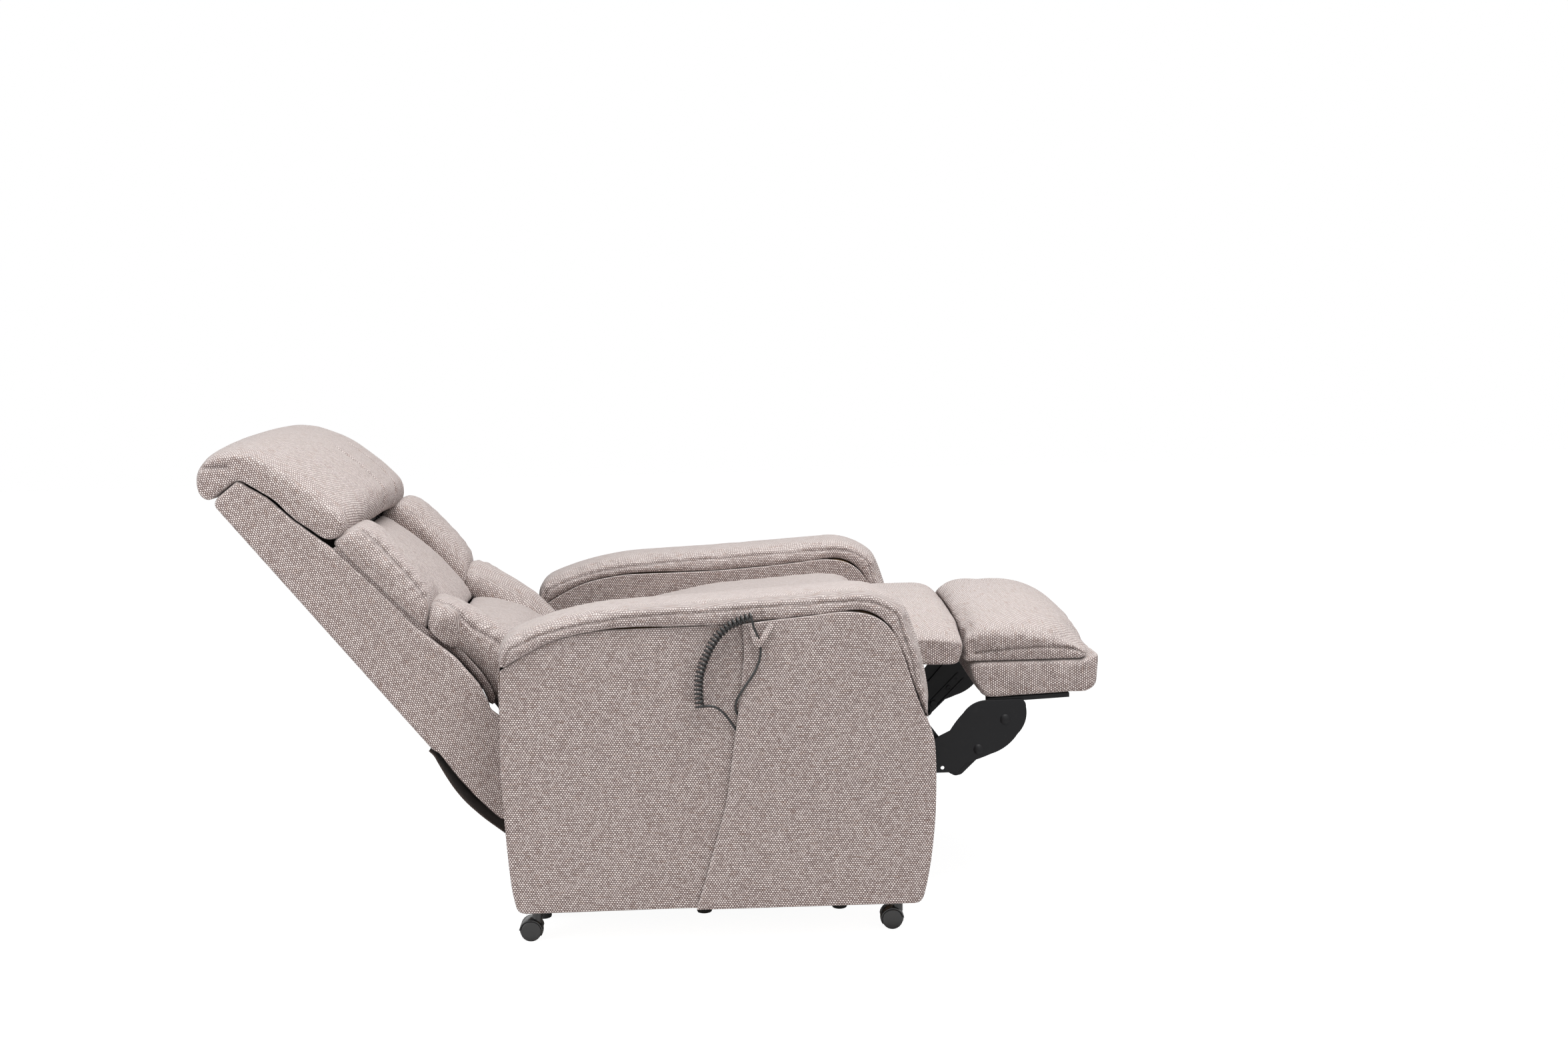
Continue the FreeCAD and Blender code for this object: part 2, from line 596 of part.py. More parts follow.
def seat_frame():
    """Seat side plates on the main pivot tube, joined by front and rear rails, with the crank pivots."""
    front = CRANK_PIVOT[0]
    high = CRANK_PIVOT[1]
    corners = [(front - 14, high + 20), (front - 14, high - 20), (front + 160, high - 42),
               (HINGE[0] - 25, HINGE[1] - 23), (HINGE[0] + 22, HINGE[1] - 20), (HINGE[0] + 22, HINGE[1] + 15)]
    side = side_plate("seat_side", rounded(corners, [10, 10, 60, 10, 12, 12]), -SEAT_OUT, -SEAT_IN,
                      [(HINGE, TUBE_BORE)])
    pin = rod("crank_pin", "Sizes.pin_radius", -CRANK_OUT - 1, -SEAT_IN, CRANK_PIVOT)
    items = [side, pin, mirrored("seat_side_left", side), mirrored("crank_pin_left", pin)]
    items.append(box("seat_front_rail", (-SEAT_OUT, front + 6, high), (SEAT_OUT, front + 36, high + 20)))
    items.append(box("seat_rear_rail", (-SEAT_OUT, 90, HINGE[1] - 10), (SEAT_OUT, 120, HINGE[1] + 10)))
    return fused("seat_frame", items)


# Underside of the seat cushion, front and rear
CUSHION_FRONT = (FOLD[0] + 70, FOLD[1] - 15)
CUSHION_REAR = (125, HINGE[1] + 24)


def seat_springs():
    """Arched spring wires between the front rail and the rear rail; the cushion lies on them."""
    wire_radius = 2
    front = Vector(0, CRANK_PIVOT[0] + 36 + SEAT_GAP, CRANK_PIVOT[1] + 12)
    rear = Vector(0, 90 - SEAT_GAP, HINGE[1])
    middle = (front + rear) * 0.5
    share = (middle.y - CUSHION_FRONT[0]) / (CUSHION_REAR[0] - CUSHION_FRONT[0])
    middle.z = CUSHION_FRONT[1] + share * (CUSHION_REAR[1] - CUSHION_FRONT[1]) - wire_radius - SEAT_GAP - 0.3
    wires = []
    for number in range(7):
        across = Vector(-180 + 60 * number, 0, 0)
        path = Part.Wire([Part.Arc(front + across, middle + across, rear + across).toShape()])
        tangent = path.Edges[0].tangentAt(path.Edges[0].FirstParameter)
        section = Part.Wire([Part.Circle(front + across, tangent, wire_radius).toShape()])
        wire = add("Part::Feature", "seat_spring_%d" % number)
        wire.Shape = path.makePipeShell([section], True, False)
        wires.append(wire)
    return group("seat_springs", wires)


def seat_cushion():
    """Seat cushion, with a crowned top and drawn-in sides."""
    points = [CUSHION_FRONT, CUSHION_REAR, (122, HINGE[1] + 104), (-100, FOLD[1] + 42),
              (CUSHION_FRONT[0], FOLD[1] + 66)]
    return cushion("seat_cushion", points, [10, 18, 34, 200, 26], (-150, FOLD[1]), -CUSHION_HALF,
                   CUSHION_HALF)


def fold_point(radius, degrees):
    """(y, z) on a circle about the footrest axis; 180 degrees points forward."""
    angle = math.radians(degrees)
    return (FOLD[0] + radius * math.cos(angle), FOLD[1] + radius * math.sin(angle))


def chaise_pad():
    """Pad in front of the seat cushion; its front is round about the footrest axis."""
    radius = size("fold_radius")
    sections = []
    for place, lost in CROWN_STATIONS:
        low = FOLD[1] - 42
        high = FOLD[1] + 60 - size("pad_crown") * lost
        reach = radius - 2.5 * lost
        shoulder = 180 - math.degrees(math.asin((high - 17 + 8 * lost - FOLD[1]) / reach))
        outline = [(FOLD[0] + 68, FOLD[1] - 15), (FOLD[0] + 2, FOLD[1] - 15),
                   Bend((FOLD[0] - 6, FOLD[1] - 17), (FOLD[0] - 8, low)),
                   fold_point(reach, 180 + math.degrees(math.asin((FOLD[1] - low) / reach))),
                   Bend(fold_point(reach, 90 + shoulder / 2 + 8), fold_point(reach, shoulder)),
                   Bend((FOLD[0] - 62, high - 2.5), (FOLD[0] - 30, high)),
                   (FOLD[0] + 40, high),
                   Bend((FOLD[0] + 60, high - 3), (FOLD[0] + 68, high - 9))]
        sections.append(side_wire(outline, CUSHION_HALF * place))
    return soft_form("chaise_pad", sections)


def footrest_pad():
    """Crowned pad on the footrest board, hollow at the rear about the footrest axis."""
    radius = size("fold_radius") + size("seam_gap") * 0.6
    tip = FOLD[0] - 340
    low = FOLD[1] - 37
    sections = []
    for place, lost in CROWN_STATIONS:
        high = FOLD[1] + 61 - size("footrest_crown") * lost
        reach = radius + 2.5 * lost
        shoulder = 180 - math.degrees(math.asin((high - 15 + 6 * lost - FOLD[1]) / reach))
        outline = [fold_point(reach, 180 + math.degrees(math.asin((FOLD[1] - low) / reach))),
                   Bend(fold_point(reach, 90 + shoulder / 2 + 8), fold_point(reach, shoulder)),
                   Bend((FOLD[0] - 118, high - 3), (FOLD[0] - 180, high)),
                   Bend((FOLD[0] - 282, high - 16 - 4 * lost), (tip + 12 * lost, FOLD[1] - 8 - 14 * lost)),
                   Bend((tip + 3 + 12 * lost, low + 9 - 5 * lost), (tip + 16 + 12 * lost, low))]
        sections.append(side_wire(outline, HALF_FOOTREST * place))
    return soft_form("footrest_pad", sections)


def footrest_board():
    """Upholstered board that carries the footrest pad."""
    tip = FOLD[0] - 346
    low = FOLD[1] - 98
    high = FOLD[1] - 37 - SEAT_GAP
    points = [(FOLD[0] - 110, high), (FOLD[0] - 114, high - 32), (FOLD[0] - 138, low - 8), (tip + 12, low),
              (tip, low + 14), (tip - 1, high)]
    radii = [5, 20, 12, 10, 12, 6]
    centre = ((FOLD[0] - 110 + tip) / 2, (low + high) / 2)
    sections = []
    for place, kept in ((-1, 0.93), (-0.985, 0.975), (-0.95, 1), (0, 1), (0.95, 1), (0.985, 0.975),
                        (1, 0.93)):
        scaled = [(centre[0] + (y - centre[0]) * (0.5 + kept / 2), centre[1] + (z - centre[1]) * kept)
                  for y, z in points]
        sections.append(side_wire(rounded(scaled, radii), HALF_FOOTREST * place))
    return soft_form("footrest_board", sections)


def footrest_bracket():
    """Bars under the footrest board, each with the pressed link plate that reaches down to the crank."""
    top_rear = (FOLD[0] - 142, FOLD[1] - 106.5)
    top_front = (FOLD[0] - 294, FOLD[1] - 100.2)
    bar = side_plate("footrest_bar", [top_rear, top_front, (top_front[0], top_front[1] - 8),
                                      (top_rear[0], top_rear[1] - 8)], -BRACKET_OUT, -BRACKET_OUT + 26)
    hole = post("footrest_bar_hole", 3.5, 30, -BRACKET_OUT + 13, top_front[0] + 9, FOLD[1] - 120)
    end = CRANK_END
    plate_points = [(end[0] + 14, end[1] - 8), (end[0] - 8, end[1] - 12), (FOLD[0] - 205, FOLD[1] - 140),
                    (FOLD[0] - 205, FOLD[1] - 108), (FOLD[0] - 150, FOLD[1] - 108),
                    (end[0] + 24, end[1] + 26)]
    plate = side_plate("footrest_link_plate", rounded(plate_points, [12, 12, 14, 3, 12, 12]),
                       -BRACKET_OUT, -BRACKET_IN)
    pin = rod("footrest_link_pin", FOOT_PIN, -BRACKET_OUT, -CRANK_IN + 1, end)
    washer = rod("footrest_washer", FOOT_PIN + 5, -BRACKET_IN - 1, -CRANK_OUT - SEAT_GAP, end)
    right = fused("footrest_bracket_right", [cut("footrest_bar_drilled", bar, hole), plate, pin, washer])
    return group("footrest_brackets", [right, mirrored("footrest_bracket_left", right)])


def cover_outline():
    """Side outline of the black cover plate."""
    y = FOLD[0]
    z = FOLD[1]
    return [(y - 35, z - 243), (y - 35, z - 182),
            (y - 72, z - 164), Bend((y - 83, z - 148), (y - 97, z - 132)),
            Bend((y - 116, z - 115), (y - 140, z - 109)),
            (y - 206, z - 109), Bend((y - 211, z - 114), (y - 213, z - 123)),
            Bend((y - 211, z - 152), (y - 197, z - 174)), Bend((y - 175, z - 197), (y - 148, z - 210)),
            Bend((y - 124, z - 219), (y - 99, z - 226)), (y - 84, z - 243)]


def cover_plate():
    """Black cover plate over the footrest links."""
    slot = (FOLD[0] - 57, FOLD[1] - 234)
    right = side_plate("cover_plate_right", cover_outline(), -COVER_OUT, -COVER_IN, [(slot, 3.5)])
    return group("cover_plates", [right, mirrored("cover_plate_left", right)])


COVER_BOLTS = ((-124, -201), (-174, -146))


def cover_bolts():
    """Domed bolts that hold the cover plates to the link plates."""
    bolts = []
    for number, (dy, dz) in enumerate(COVER_BOLTS):
        point = (FOLD[0] + dy, FOLD[1] + dz)
        ball = add("Part::Sphere", "bolt_ball_%d" % number)
        ball.Radius = 14
        ball.Placement.Base = Vector(-COVER_OUT + 10, point[0], point[1])
        keep = rod("bolt_keep_%d" % number, 9.5, -COVER_OUT - 6, -COVER_OUT, point)
        dome = add("Part::Common", "bolt_dome_%d" % number)
        dome.Base = ball
        dome.Tool = keep
        bolts += [dome, mirrored("bolt_dome_left_%d" % number, dome)]
    return group("cover_bolts", bolts)


def footrest_crank():
    """Bent crank links from the seat frame to the footrest brackets."""
    pivot = CRANK_PIVOT
    end = CRANK_END
    away = Vector(end[0] - pivot[0], end[1] - pivot[1], 0).normalize()
    slot_low = (end[0] + away.x, end[1] + away.y)
    slot_high = (end[0] - away.x * size("slot_length"), end[1] - away.y * size("slot_length"))
    elbow = (pivot[0] - 35, pivot[1] - 106)
    width = size("link_width") - 4
    upper = side_plate("crank_upper", link_outline(pivot, elbow, width), -CRANK_OUT, -CRANK_IN,
                       [(pivot, BORE)])
    lower = side_plate("crank_lower", link_outline(elbow, (end[0] + away.x * 2, end[1] + away.y * 2), width),
                       -CRANK_OUT, -CRANK_IN)
    side = fused("crank_side", [upper, lower])
    slot_width = 2 * (FOOT_PIN + size("slot_play"))
    slot = side_plate("crank_slot", link_outline(slot_low, slot_high, slot_width), -CRANK_OUT - 1,
                      -CRANK_IN + 1)
    slotted = cut("crank_slotted", side, slot)
    return group("footrest_crank", [slotted, mirrored("crank_slotted_left", slotted)])


def back_profile(points):
    """Back outline points, given as (down, out), put in the side plane."""
    return [on_back(down, out) for down, out in points]


def rim_points():
    """Front edge of the back shell's side walls from its top, as (down, out)."""
    depth = size("back_depth")
    length = size("shell_length")
    return [(0, 62), (55, 82), (117, 91), (200, depth - 18), (290, depth - 7), (length - 190, depth + 2),
            (length - 110, depth + 18), (length - 45, depth + 18), (length, depth + 6)]


def rim(down):
    """Height of the shell's front edge at a place down the back."""
    points = rim_points()
    for (first, low), (second, high) in zip(points, points[1:]):
        if down <= second:
            return low + (high - low) * (down - first) / (second - first)
    return points[-1][1]


def back_shell():
    """Upholstered outside back: rear wall, side walls and top, open at the front and below."""
    depth = size("back_depth")
    length = size("shell_length")
    wall = size("wall")
    outer = back_profile([(0, 0), (length, 0)] + rim_points()[::-1])
    radii = [14, 12, 8, 60, 60, 90, 120, 120, 60, 60, 6]
    whole = side_plate("shell_whole", rounded(outer, radii), -HALF_BACK, HALF_BACK)
    inner = back_profile([(wall, wall), (length + 30, wall), (length + 30, depth + 40), (wall, depth + 40)])
    hollow = side_plate("shell_hollow", rounded(inner, 2), wall - HALF_BACK, HALF_BACK - wall)
    start = on_back(length - 10, 8)
    front = on_back(length - 10, depth)
    skirt = [start, (HINGE[0] + 187, HINGE[1] - 64),
             Bend((HINGE[0] + 140, HINGE[1] - 129), (HINGE[0] + 80, HINGE[1] - 191)),
             (ARM_REAR + 6, HINGE[1] - 193), (ARM_REAR + 6, front[1] - 24), front]
    flap = side_plate("shell_skirt", skirt, -HALF_BACK, wall - HALF_BACK)
    return fused("back_shell", [cut("shell_case", whole, hollow), flap, mirrored("shell_skirt_left", flap)])


def back_frame():
    """Steel uprights and rails inside the back shell, its pivot brackets and the back actuator's lever."""
    length = size("shell_length")
    half = HALF_BACK - size("wall") - 1
    upright_points = back_profile([(14, 14), (length - 6, 14), (length - 6, 46), (14, 46)])
    upright = side_plate("back_upright", upright_points, -half, -half + 25)
    items = [upright, mirrored("back_upright_left", upright)]
    for name, start in (("top", 14), ("middle", 205), ("bottom", length - 36)):
        outline = back_profile([(start, 14), (start + 30, 14), (start + 30, 44), (start, 44)])
        items.append(side_plate("back_rail_" + name, outline, -half, half))
    reach = size("back_length")
    bracket_points = back_profile([(length - 110, 40), (reach + 20, 40), (reach + 22, 214),
                                   (reach - 20, 214), (reach - 24, 120), (length - 110, 100)])
    bracket = side_plate("back_bracket", rounded(bracket_points, [6, 20, 20, 18, 8, 10]), -BRACKET_IN + 1,
                         -BRACKET_IN + 7, [(HINGE, TUBE_BORE)])
    foot_points = back_profile([(length - 105, 20), (length - 10, 20), (length - 10, 60), (length - 105, 60)])
    strap = side_plate("back_bracket_foot", foot_points, -half, -BRACKET_IN + 7)
    items += [bracket, strap, mirrored("back_bracket_left", bracket),
              mirrored("back_bracket_foot_left", strap)]
    lever_top = on_back(length - 20, 30)
    lever = link_outline(lever_top, BACK_EYE, 26)
    for name, x in (("right", BACK_ACTUATOR_X - 14), ("left", BACK_ACTUATOR_X + 9)):
        items.append(side_plate("back_lever_" + name, lever, x, x + 5))
    items.append(rod("back_eye_pin", EYE_PIN, BACK_ACTUATOR_X - 14, BACK_ACTUATOR_X + 14, BACK_EYE))
    hook = back_profile([(200, 30), (224, 30), (200, 124), (184, 124)])
    for name, x in (("right", -108), ("left", 102)):
        items.append(side_plate("headrest_lug_" + name, rounded(hook, [4, 4, 6, 6]), x, x + 6))
    items.append(rod("headrest_pin", EYE_PIN, -108, 108, HEADREST_PIVOT))
    return fused("back_frame", items)


HEADREST_PIVOT = on_back(191, 116)


def headrest_bracket():
    """Two steel arms that carry the headrest pad on its hinge rod."""
    arms = []
    outline = rounded(back_profile([(112, 74), (196, 100), (200, 121), (184, 121.5), (172, 115.4),
                                    (114, 91.4)]), [3, 8, 6, 3, 3, 3])
    bore = EYE_PIN + size("running_gap")
    for name, x in (("right", -99), ("left", 93)):
        arms.append(side_plate("headrest_arm_" + name, outline, x, x + 6, [(HEADREST_PIVOT, bore)]))
    return group("headrest_bracket", arms)


def headrest_pad():
    """Pad that wraps over the top of the back, crowned from its middle to its ends."""
    middle = [(-3, 16), (-5, -8), (-28, -17), (-62, 6), (-76, 60), (-44, 132), (34, 182), (110, 199),
              (172, 203), (187, 168), (175, 117), (117, 93.5), (55, 85), (-3, 66)]
    ends = [(-3, 16), (-4, -4), (-26, -10), (-56, 10), (-67, 52), (-36, 108), (36, 136), (108, 152),
            (165, 167), (185, 140), (175, 113), (117, 93.5), (55, 85), (-3, 66)]
    radii = [6, 12, 24, 34, 60, 80, 160, 160, 26, 24, 10, 40, 30, 4]
    crown = size("headrest_crown") / 38
    half = HALF_BACK - size("headrest_margin")
    sections = []
    for place, lost in CROWN_STATIONS:
        share = crown * min(1, lost)
        inset = 7 * abs(place) ** 30
        drawn = []
        for (down, out), (end_down, end_out) in zip(middle, ends):
            inward = Vector(62 - down, 60 - out, 0).normalize() * (inset if out > 95 or down < -3 else 0)
            drawn.append((down + (end_down - down) * share + inward.x,
                          out + (end_out - out) * share + inward.y))
        sections.append(side_wire(rounded(back_profile(drawn), radii), half * place))
    return soft_form("headrest_pad", sections)


def on_tier(down, out, crest, slant):
    """(y, z) of a point of a bolster's section, which leans towards the seat below its crest."""
    return on_back(down + slant * (crest - out), out)


def bolster(label, stations, x_in):
    """Bolster lofted down the back.

    Its stations are (place of the crest down the back, outer half width, crest above the shell's rear
    face, lean of the section).
    """
    sections = []
    for down, x_out, crest, slant in stations:
        base = rim(down + slant * (crest - rim(down))) + SEAT_GAP + 0.9
        height = crest - base
        corners = [(-x_out + 12, base), (-x_in, base), (-x_in, base + height * 0.6),
                   (-x_in - 42, crest), (-x_out + 10, base + height * 0.88), (-x_out, base + height * 0.4)]
        outline = rounded(corners, [6, 4, 18, 60, 0.36 * height, 0.5 * height])

        def in_space(point, down=down, crest=crest, slant=slant):
            y, z = on_tier(down, point[1], crest, slant)
            return Vector(point[0], y, z)

        sections.append(Part.Wire([curve.toShape() for curve in curves_of(outline, in_space)]))
    return soft_form(label, sections)


def middle_pad(label, stations):
    """Middle pad lofted down the back; stations are (down, half width, crown, height of its sides)."""
    sections = []
    for down, half, crown, shoulder in stations:
        base = rim(down) + SEAT_GAP

        def in_space(x, out, down=down):
            y, z = on_back(down, out)
            return Vector(x, y, z)

        edges = [Part.LineSegment(in_space(-half, base), in_space(half, base)),
                 Part.LineSegment(in_space(half, base), in_space(half, base + shoulder)),
                 Part.Arc(in_space(half, base + shoulder), in_space(0, base + crown),
                          in_space(-half, base + shoulder)),
                 Part.LineSegment(in_space(-half, base + shoulder), in_space(-half, base))]
        sections.append(Part.Wire([edge.toShape() for edge in edges]))
    return soft_form(label, sections)


def placed(stations, first, last):
    """Stations whose shares of a tier are turned into places between its two ends."""
    return [(first + station[0] * (last - first),) + station[1:] for station in stations]


def back_cushions():
    """Two tiers of back pads: a side bolster at each edge and a wide pad in the middle."""
    middle = size("centre_pad_width") / 2
    inner = middle + size("pad_gap")
    wide = HALF_BACK + 8
    narrow = HALF_SEAT - size("soft_gap")
    depth = size("back_depth")
    upper = [(0, wide - 10, depth + 44, -0.1), (0.04, wide - 4, depth + 51, -0.04),
             (0.15, wide, depth + 58, 0.14), (0.42, wide, depth + 61, 0.5),
             (0.75, wide - 1, depth + 62, 0.8), (0.93, wide - 4, depth + 59, 0.88),
             (1, wide - 10, depth + 52, 0.9)]
    lower = [(0, wide - 12, depth + 52, 0.9), (0.04, wide - 5, depth + 64, 0.88),
             (0.13, wide - 7, depth + 78, 0.8),
             (0.22, narrow + 8, depth + 88, 0.66), (0.34, narrow - 2, depth + 101, 0.45),
             (0.52, narrow - 2, depth + 115, 0.2), (0.78, narrow - 3, depth + 121, 0),
             (0.92, narrow - 5, depth + 119, 0), (1, narrow - 14, depth + 100, 0)]
    centre_upper = [(0, middle - 10, 9, 4), (0.07, middle - 3, 18, 10), (0.26, middle, 29, 17),
                    (0.5, middle, 35, 21), (0.78, middle, 33, 20), (0.93, middle - 3, 24, 13),
                    (1, middle - 10, 12, 5)]
    centre_lower = [(0, middle - 10, 16, 6), (0.05, middle - 4, 30, 17), (0.15, middle, 46, 33),
                    (0.39, middle, 77, 65), (0.7, middle, 102, 90), (0.92, middle - 4, 108, 92),
                    (1, middle - 12, 84, 70)]
    start = size("pads_top")
    split = start + size("upper_tier")
    second = split + size("tier_gap")
    end = size("back_length") - size("pads_end")
    joint = size("bolster_split")
    return [bolster("bolster_upper_right", placed(upper, size("bolster_top"), joint), inner),
            bolster("bolster_lower_right", placed(lower, joint + size("tier_gap"), end), inner),
            middle_pad("back_pad_upper", placed(centre_upper, start, split)),
            middle_pad("back_pad_lower", placed(centre_lower, second, end))]


def rear_apron():
    """Loose strip of cloth from the rear face of the back shell to the rear cross tube."""
    tube = REAR_TUBE
    outline = [(HINGE[0] + 207.6, HINGE[1] - 55.2), (HINGE[0] + 199.2, HINGE[1] - 66),
               Bend((HINGE[0] + 179, HINGE[1] - 109), (HINGE[0] + 147, HINGE[1] - 157)),
               Bend((HINGE[0] + 109, HINGE[1] - 192.5), (tube[0] + TUBE + 0.1, tube[1] + 3)),
               (tube[0] + TUBE - 1.7, tube[1] + 7.2),
               Bend((HINGE[0] + 106.4, HINGE[1] - 189.4), (HINGE[0] + 144, HINGE[1] - 154.2)),
               Bend((HINGE[0] + 175.6, HINGE[1] - 106.8), (HINGE[0] + 196, HINGE[1] - 63.6)),
               (HINGE[0] + 204.5, HINGE[1] - 52.7)]
    half = HALF_BACK - 4
    outside = max(half, CUSHION_HALF) + 5
    whole = side_plate("apron_whole", outline, -half, half)
    rooms = [box("apron_room_" + name, (start, tube[0] - 30, tube[1] - 40),
                 (end, "Sizes.arm_rear + 3", tube[1] + 90))
             for name, start, end in (("right", -outside, -CUSHION_HALF), ("left", CUSHION_HALF, outside))]
    return cut("rear_apron", whole, fused("apron_rooms", rooms))


def actuator(prefix, start, end, x, eye_radius):
    """Linear actuator between two pivots: motor, gear housing and outer tube, and the rod with its eye."""
    along = Vector(0, end[0] - start[0], end[1] - start[1])
    length = along.Length
    tilt = math.degrees(math.atan2(end[1] - start[1], end[0] - start[0]))
    turn = Rotation(Vector(1, 0, 0), tilt)
    frame = FreeCAD.Placement(Vector(x, start[0], start[1]), turn)

    def bar(label, radius, first, last, height=0):
        item = add("Part::Cylinder", prefix + label)
        item.Placement = frame.multiply(FreeCAD.Placement(Vector(0, first, height),
                                                          Rotation(Vector(1, 0, 0), -90)))
        bind(item, Radius=str(radius), Height=str(last - first))
        return item

    def cross_bar(label, radius, half, place):
        item = add("Part::Cylinder", prefix + label)
        item.Placement = frame.multiply(FreeCAD.Placement(Vector(-half, place, 0),
                                                          Rotation(Vector(0, 1, 0), 90)))
        bind(item, Radius=str(radius), Height=str(2 * half))
        return item

    housing = add("Part::Box", prefix + "_gear_case")
    bind(housing, Length="50", Width="92", Height="52")
    housing.Placement = frame.multiply(FreeCAD.Placement(Vector(-25, 19, -26), Rotation()))
    rounded_case = add("Part::Fillet", prefix + "_gear_case_rounded")
    doc.recompute()
    rounded_case.Base = housing
    rounded_case.Edges = [(number, 6, 6) for number in range(1, 13)]
    tail = cross_bar("_tail_eye", 11, 6, 0)
    neck = add("Part::Box", prefix + "_tail_neck")
    bind(neck, Length="12", Width="20", Height="16")
    neck.Placement = frame.multiply(FreeCAD.Placement(Vector(-6, 3, -8), Rotation()))
    motor = bar("_motor_can", 23, 34, 160, 46 if prefix == "lift" else -44)
    sleeve = bar("_sleeve", "Sizes.outer_tube", 105, length - 48)
    body = fused(prefix + "_motor_body", [rounded_case, tail, neck, motor, sleeve])
    bore = fused(prefix + "_motor_bores", [bar("_rod_bore", size("rod_radius") + 0.4, 125, length),
                                          cross_bar("_tail_bore", 5.08, 30, 0)])
    housing_node = cut(prefix + "_motor", body, bore)
    shaft = bar("_shaft", "Sizes.rod_radius", 128, length - eye_radius - 1)
    eye = cross_bar("_eye_ring", eye_radius + 5, 5, length)
    eye_bore = cross_bar("_eye_bore", eye_radius, 6, length)
    rod_node = cut(prefix + "_rod", fused(prefix + "_rod_body", [shaft, eye]), eye_bore)
    return housing_node, rod_node


def control_box():
    """Control box on the motor tube, with its mains inlet and two motor sockets."""
    low = BACK_MOTOR_PIVOT[1] + TUBE
    back = BACK_MOTOR_PIVOT[0] + 40
    outside = PLATE_IN - 51
    inside = outside - 140
    case = box("control_case", (inside, back - 150, low), (outside, back, low + 44))
    rounded_case = add("Part::Fillet", "control_case_rounded")
    doc.recompute()
    rounded_case.Base = case
    rounded_case.Edges = [(number, 4, 4) for number in (1, 3, 5, 7)]
    inlet = box("mains_inlet_hole", (inside + 30, back - 12, low + 12), (inside + 54, back + 1, low + 30))
    return cut("control_box", rounded_case, inlet)


POCKET_FRONT = ARM_FRONT + 180
POCKET_WIDTH = 74
POCKET_FLOOR = 190
HANDSET_HEIGHT = 158


def handset_pieces():
    """Handset standing in its pocket bag inside the right arm, with two rocker keys."""
    outer = ARM_OUT - 17
    bag = box("pocket_bag_outside", (-outer, POCKET_FRONT, POCKET_FLOOR - 3),
              (-outer + 46, POCKET_FRONT + POCKET_WIDTH, POCKET_FLOOR + 190))
    room = box("pocket_bag_inside", (-outer + 2, POCKET_FRONT + 2, POCKET_FLOOR),
               (-outer + 44, POCKET_FRONT + POCKET_WIDTH - 2, POCKET_FLOOR + 200))
    pocket = cut("handset_pocket", bag, room)
    middle = POCKET_FRONT + POCKET_WIDTH / 2
    case = box("handset_case", (-outer + 15, middle - 26, POCKET_FLOOR + 0.3),
               (-outer + 41, middle + 26, POCKET_FLOOR + 0.3 + HANDSET_HEIGHT))
    rounded_case = add("Part::Fillet", "handset_case_rounded")
    doc.recompute()
    rounded_case.Base = case
    rounded_case.Edges = [(number, 8, 8) for number in range(1, 13)]
    keys = []
    rooms = []
    for number, word in enumerate(("back", "lift")):
        height = POCKET_FLOOR + 105 - 44 * number
        profile = [(middle - 15, height - 17), (middle + 15, height + 17)]
        room_box = box("key_room_" + word, (-outer + 10, profile[0][0] - 0.6, profile[0][1] - 0.8),
                       (-outer + 21.4, profile[1][0] + 0.6, profile[1][1] + 0.8))
        rooms.append(room_box)
        key = box("key_block_" + word, (-outer + 13, profile[0][0], profile[0][1]),
                  (-outer + 18, profile[1][0], profile[1][1]))
        stub = box("key_stub_" + word, (-outer + 18, middle - 5, height - 2),
                   (-outer + 20.8, middle + 5, height + 2))
        keys.append(fused("rocker_" + word, [key, stub]))
    shell = cut("handset_shell", rounded_case, fused("key_rooms", rooms))
    return [pocket, shell] + keys


def bent_route(points, radius):
    """Wire of straight runs joined by tangent arcs through a route's points; prints the bend radii."""
    edges = []
    radii = []
    here = points[0]
    for before, corner, after in zip(points, points[1:], points[2:]):
        back = before - corner
        ahead = after - corner
        half_turn = (math.pi - back.getAngle(ahead)) / 2
        reach = 0.45 * min(back.Length, ahead.Length)
        bend = reach / math.tan(half_turn)
        radii.append(round(bend, 1))
        start = corner + back.normalize() * reach
        end = corner + ahead.normalize() * reach
        inward = (start + end) * 0.5 - corner
        middle = corner + inward.normalize() * (bend / math.cos(half_turn) - bend)
        edges.append(Part.LineSegment(here, start).toShape())
        edges.append(Part.Arc(start, middle, end).toShape())
        here = end
    edges.append(Part.LineSegment(here, points[-1]).toShape())
    print("route radii in diameters:", [round(value / (2 * radius), 1) for value in radii])
    return Part.Wire(edges)


def cord_tube(label, points):
    """Round cord along a route; its volume is compared with section times length."""
    radius = size("cord_diameter") / 2
    path = bent_route(points, radius)
    direction = points[1] - points[0]
    section = Part.Wire([Part.Circle(points[0], direction, radius).toShape()])
    item = add("Part::Feature", label)
    item.Shape = path.makePipeShell([section], True, False)
    ratio = item.Shape.Volume / (math.pi * radius ** 2 * path.Length)
    print(label, "length %.0f mm, volume ratio %.3f" % (path.Length, ratio))
    return item


# The curly cord hangs beside the arm between two plain leads
CORD_X = -ARM_OUT - 10.5
CURLY_SPINE = [(ARM_FRONT + 412, 429), (ARM_FRONT + 416, 470), (ARM_FRONT + 404, 512), (ARM_FRONT + 382, 553),
               (ARM_FRONT + 352, 579), (ARM_FRONT + 318, 587)]


def spine_curve():
    """Smooth middle line of the curls."""
    spline = Part.BSplineCurve()
    spline.interpolate([Vector(CORD_X, y, z) for y, z in CURLY_SPINE])
    return spline


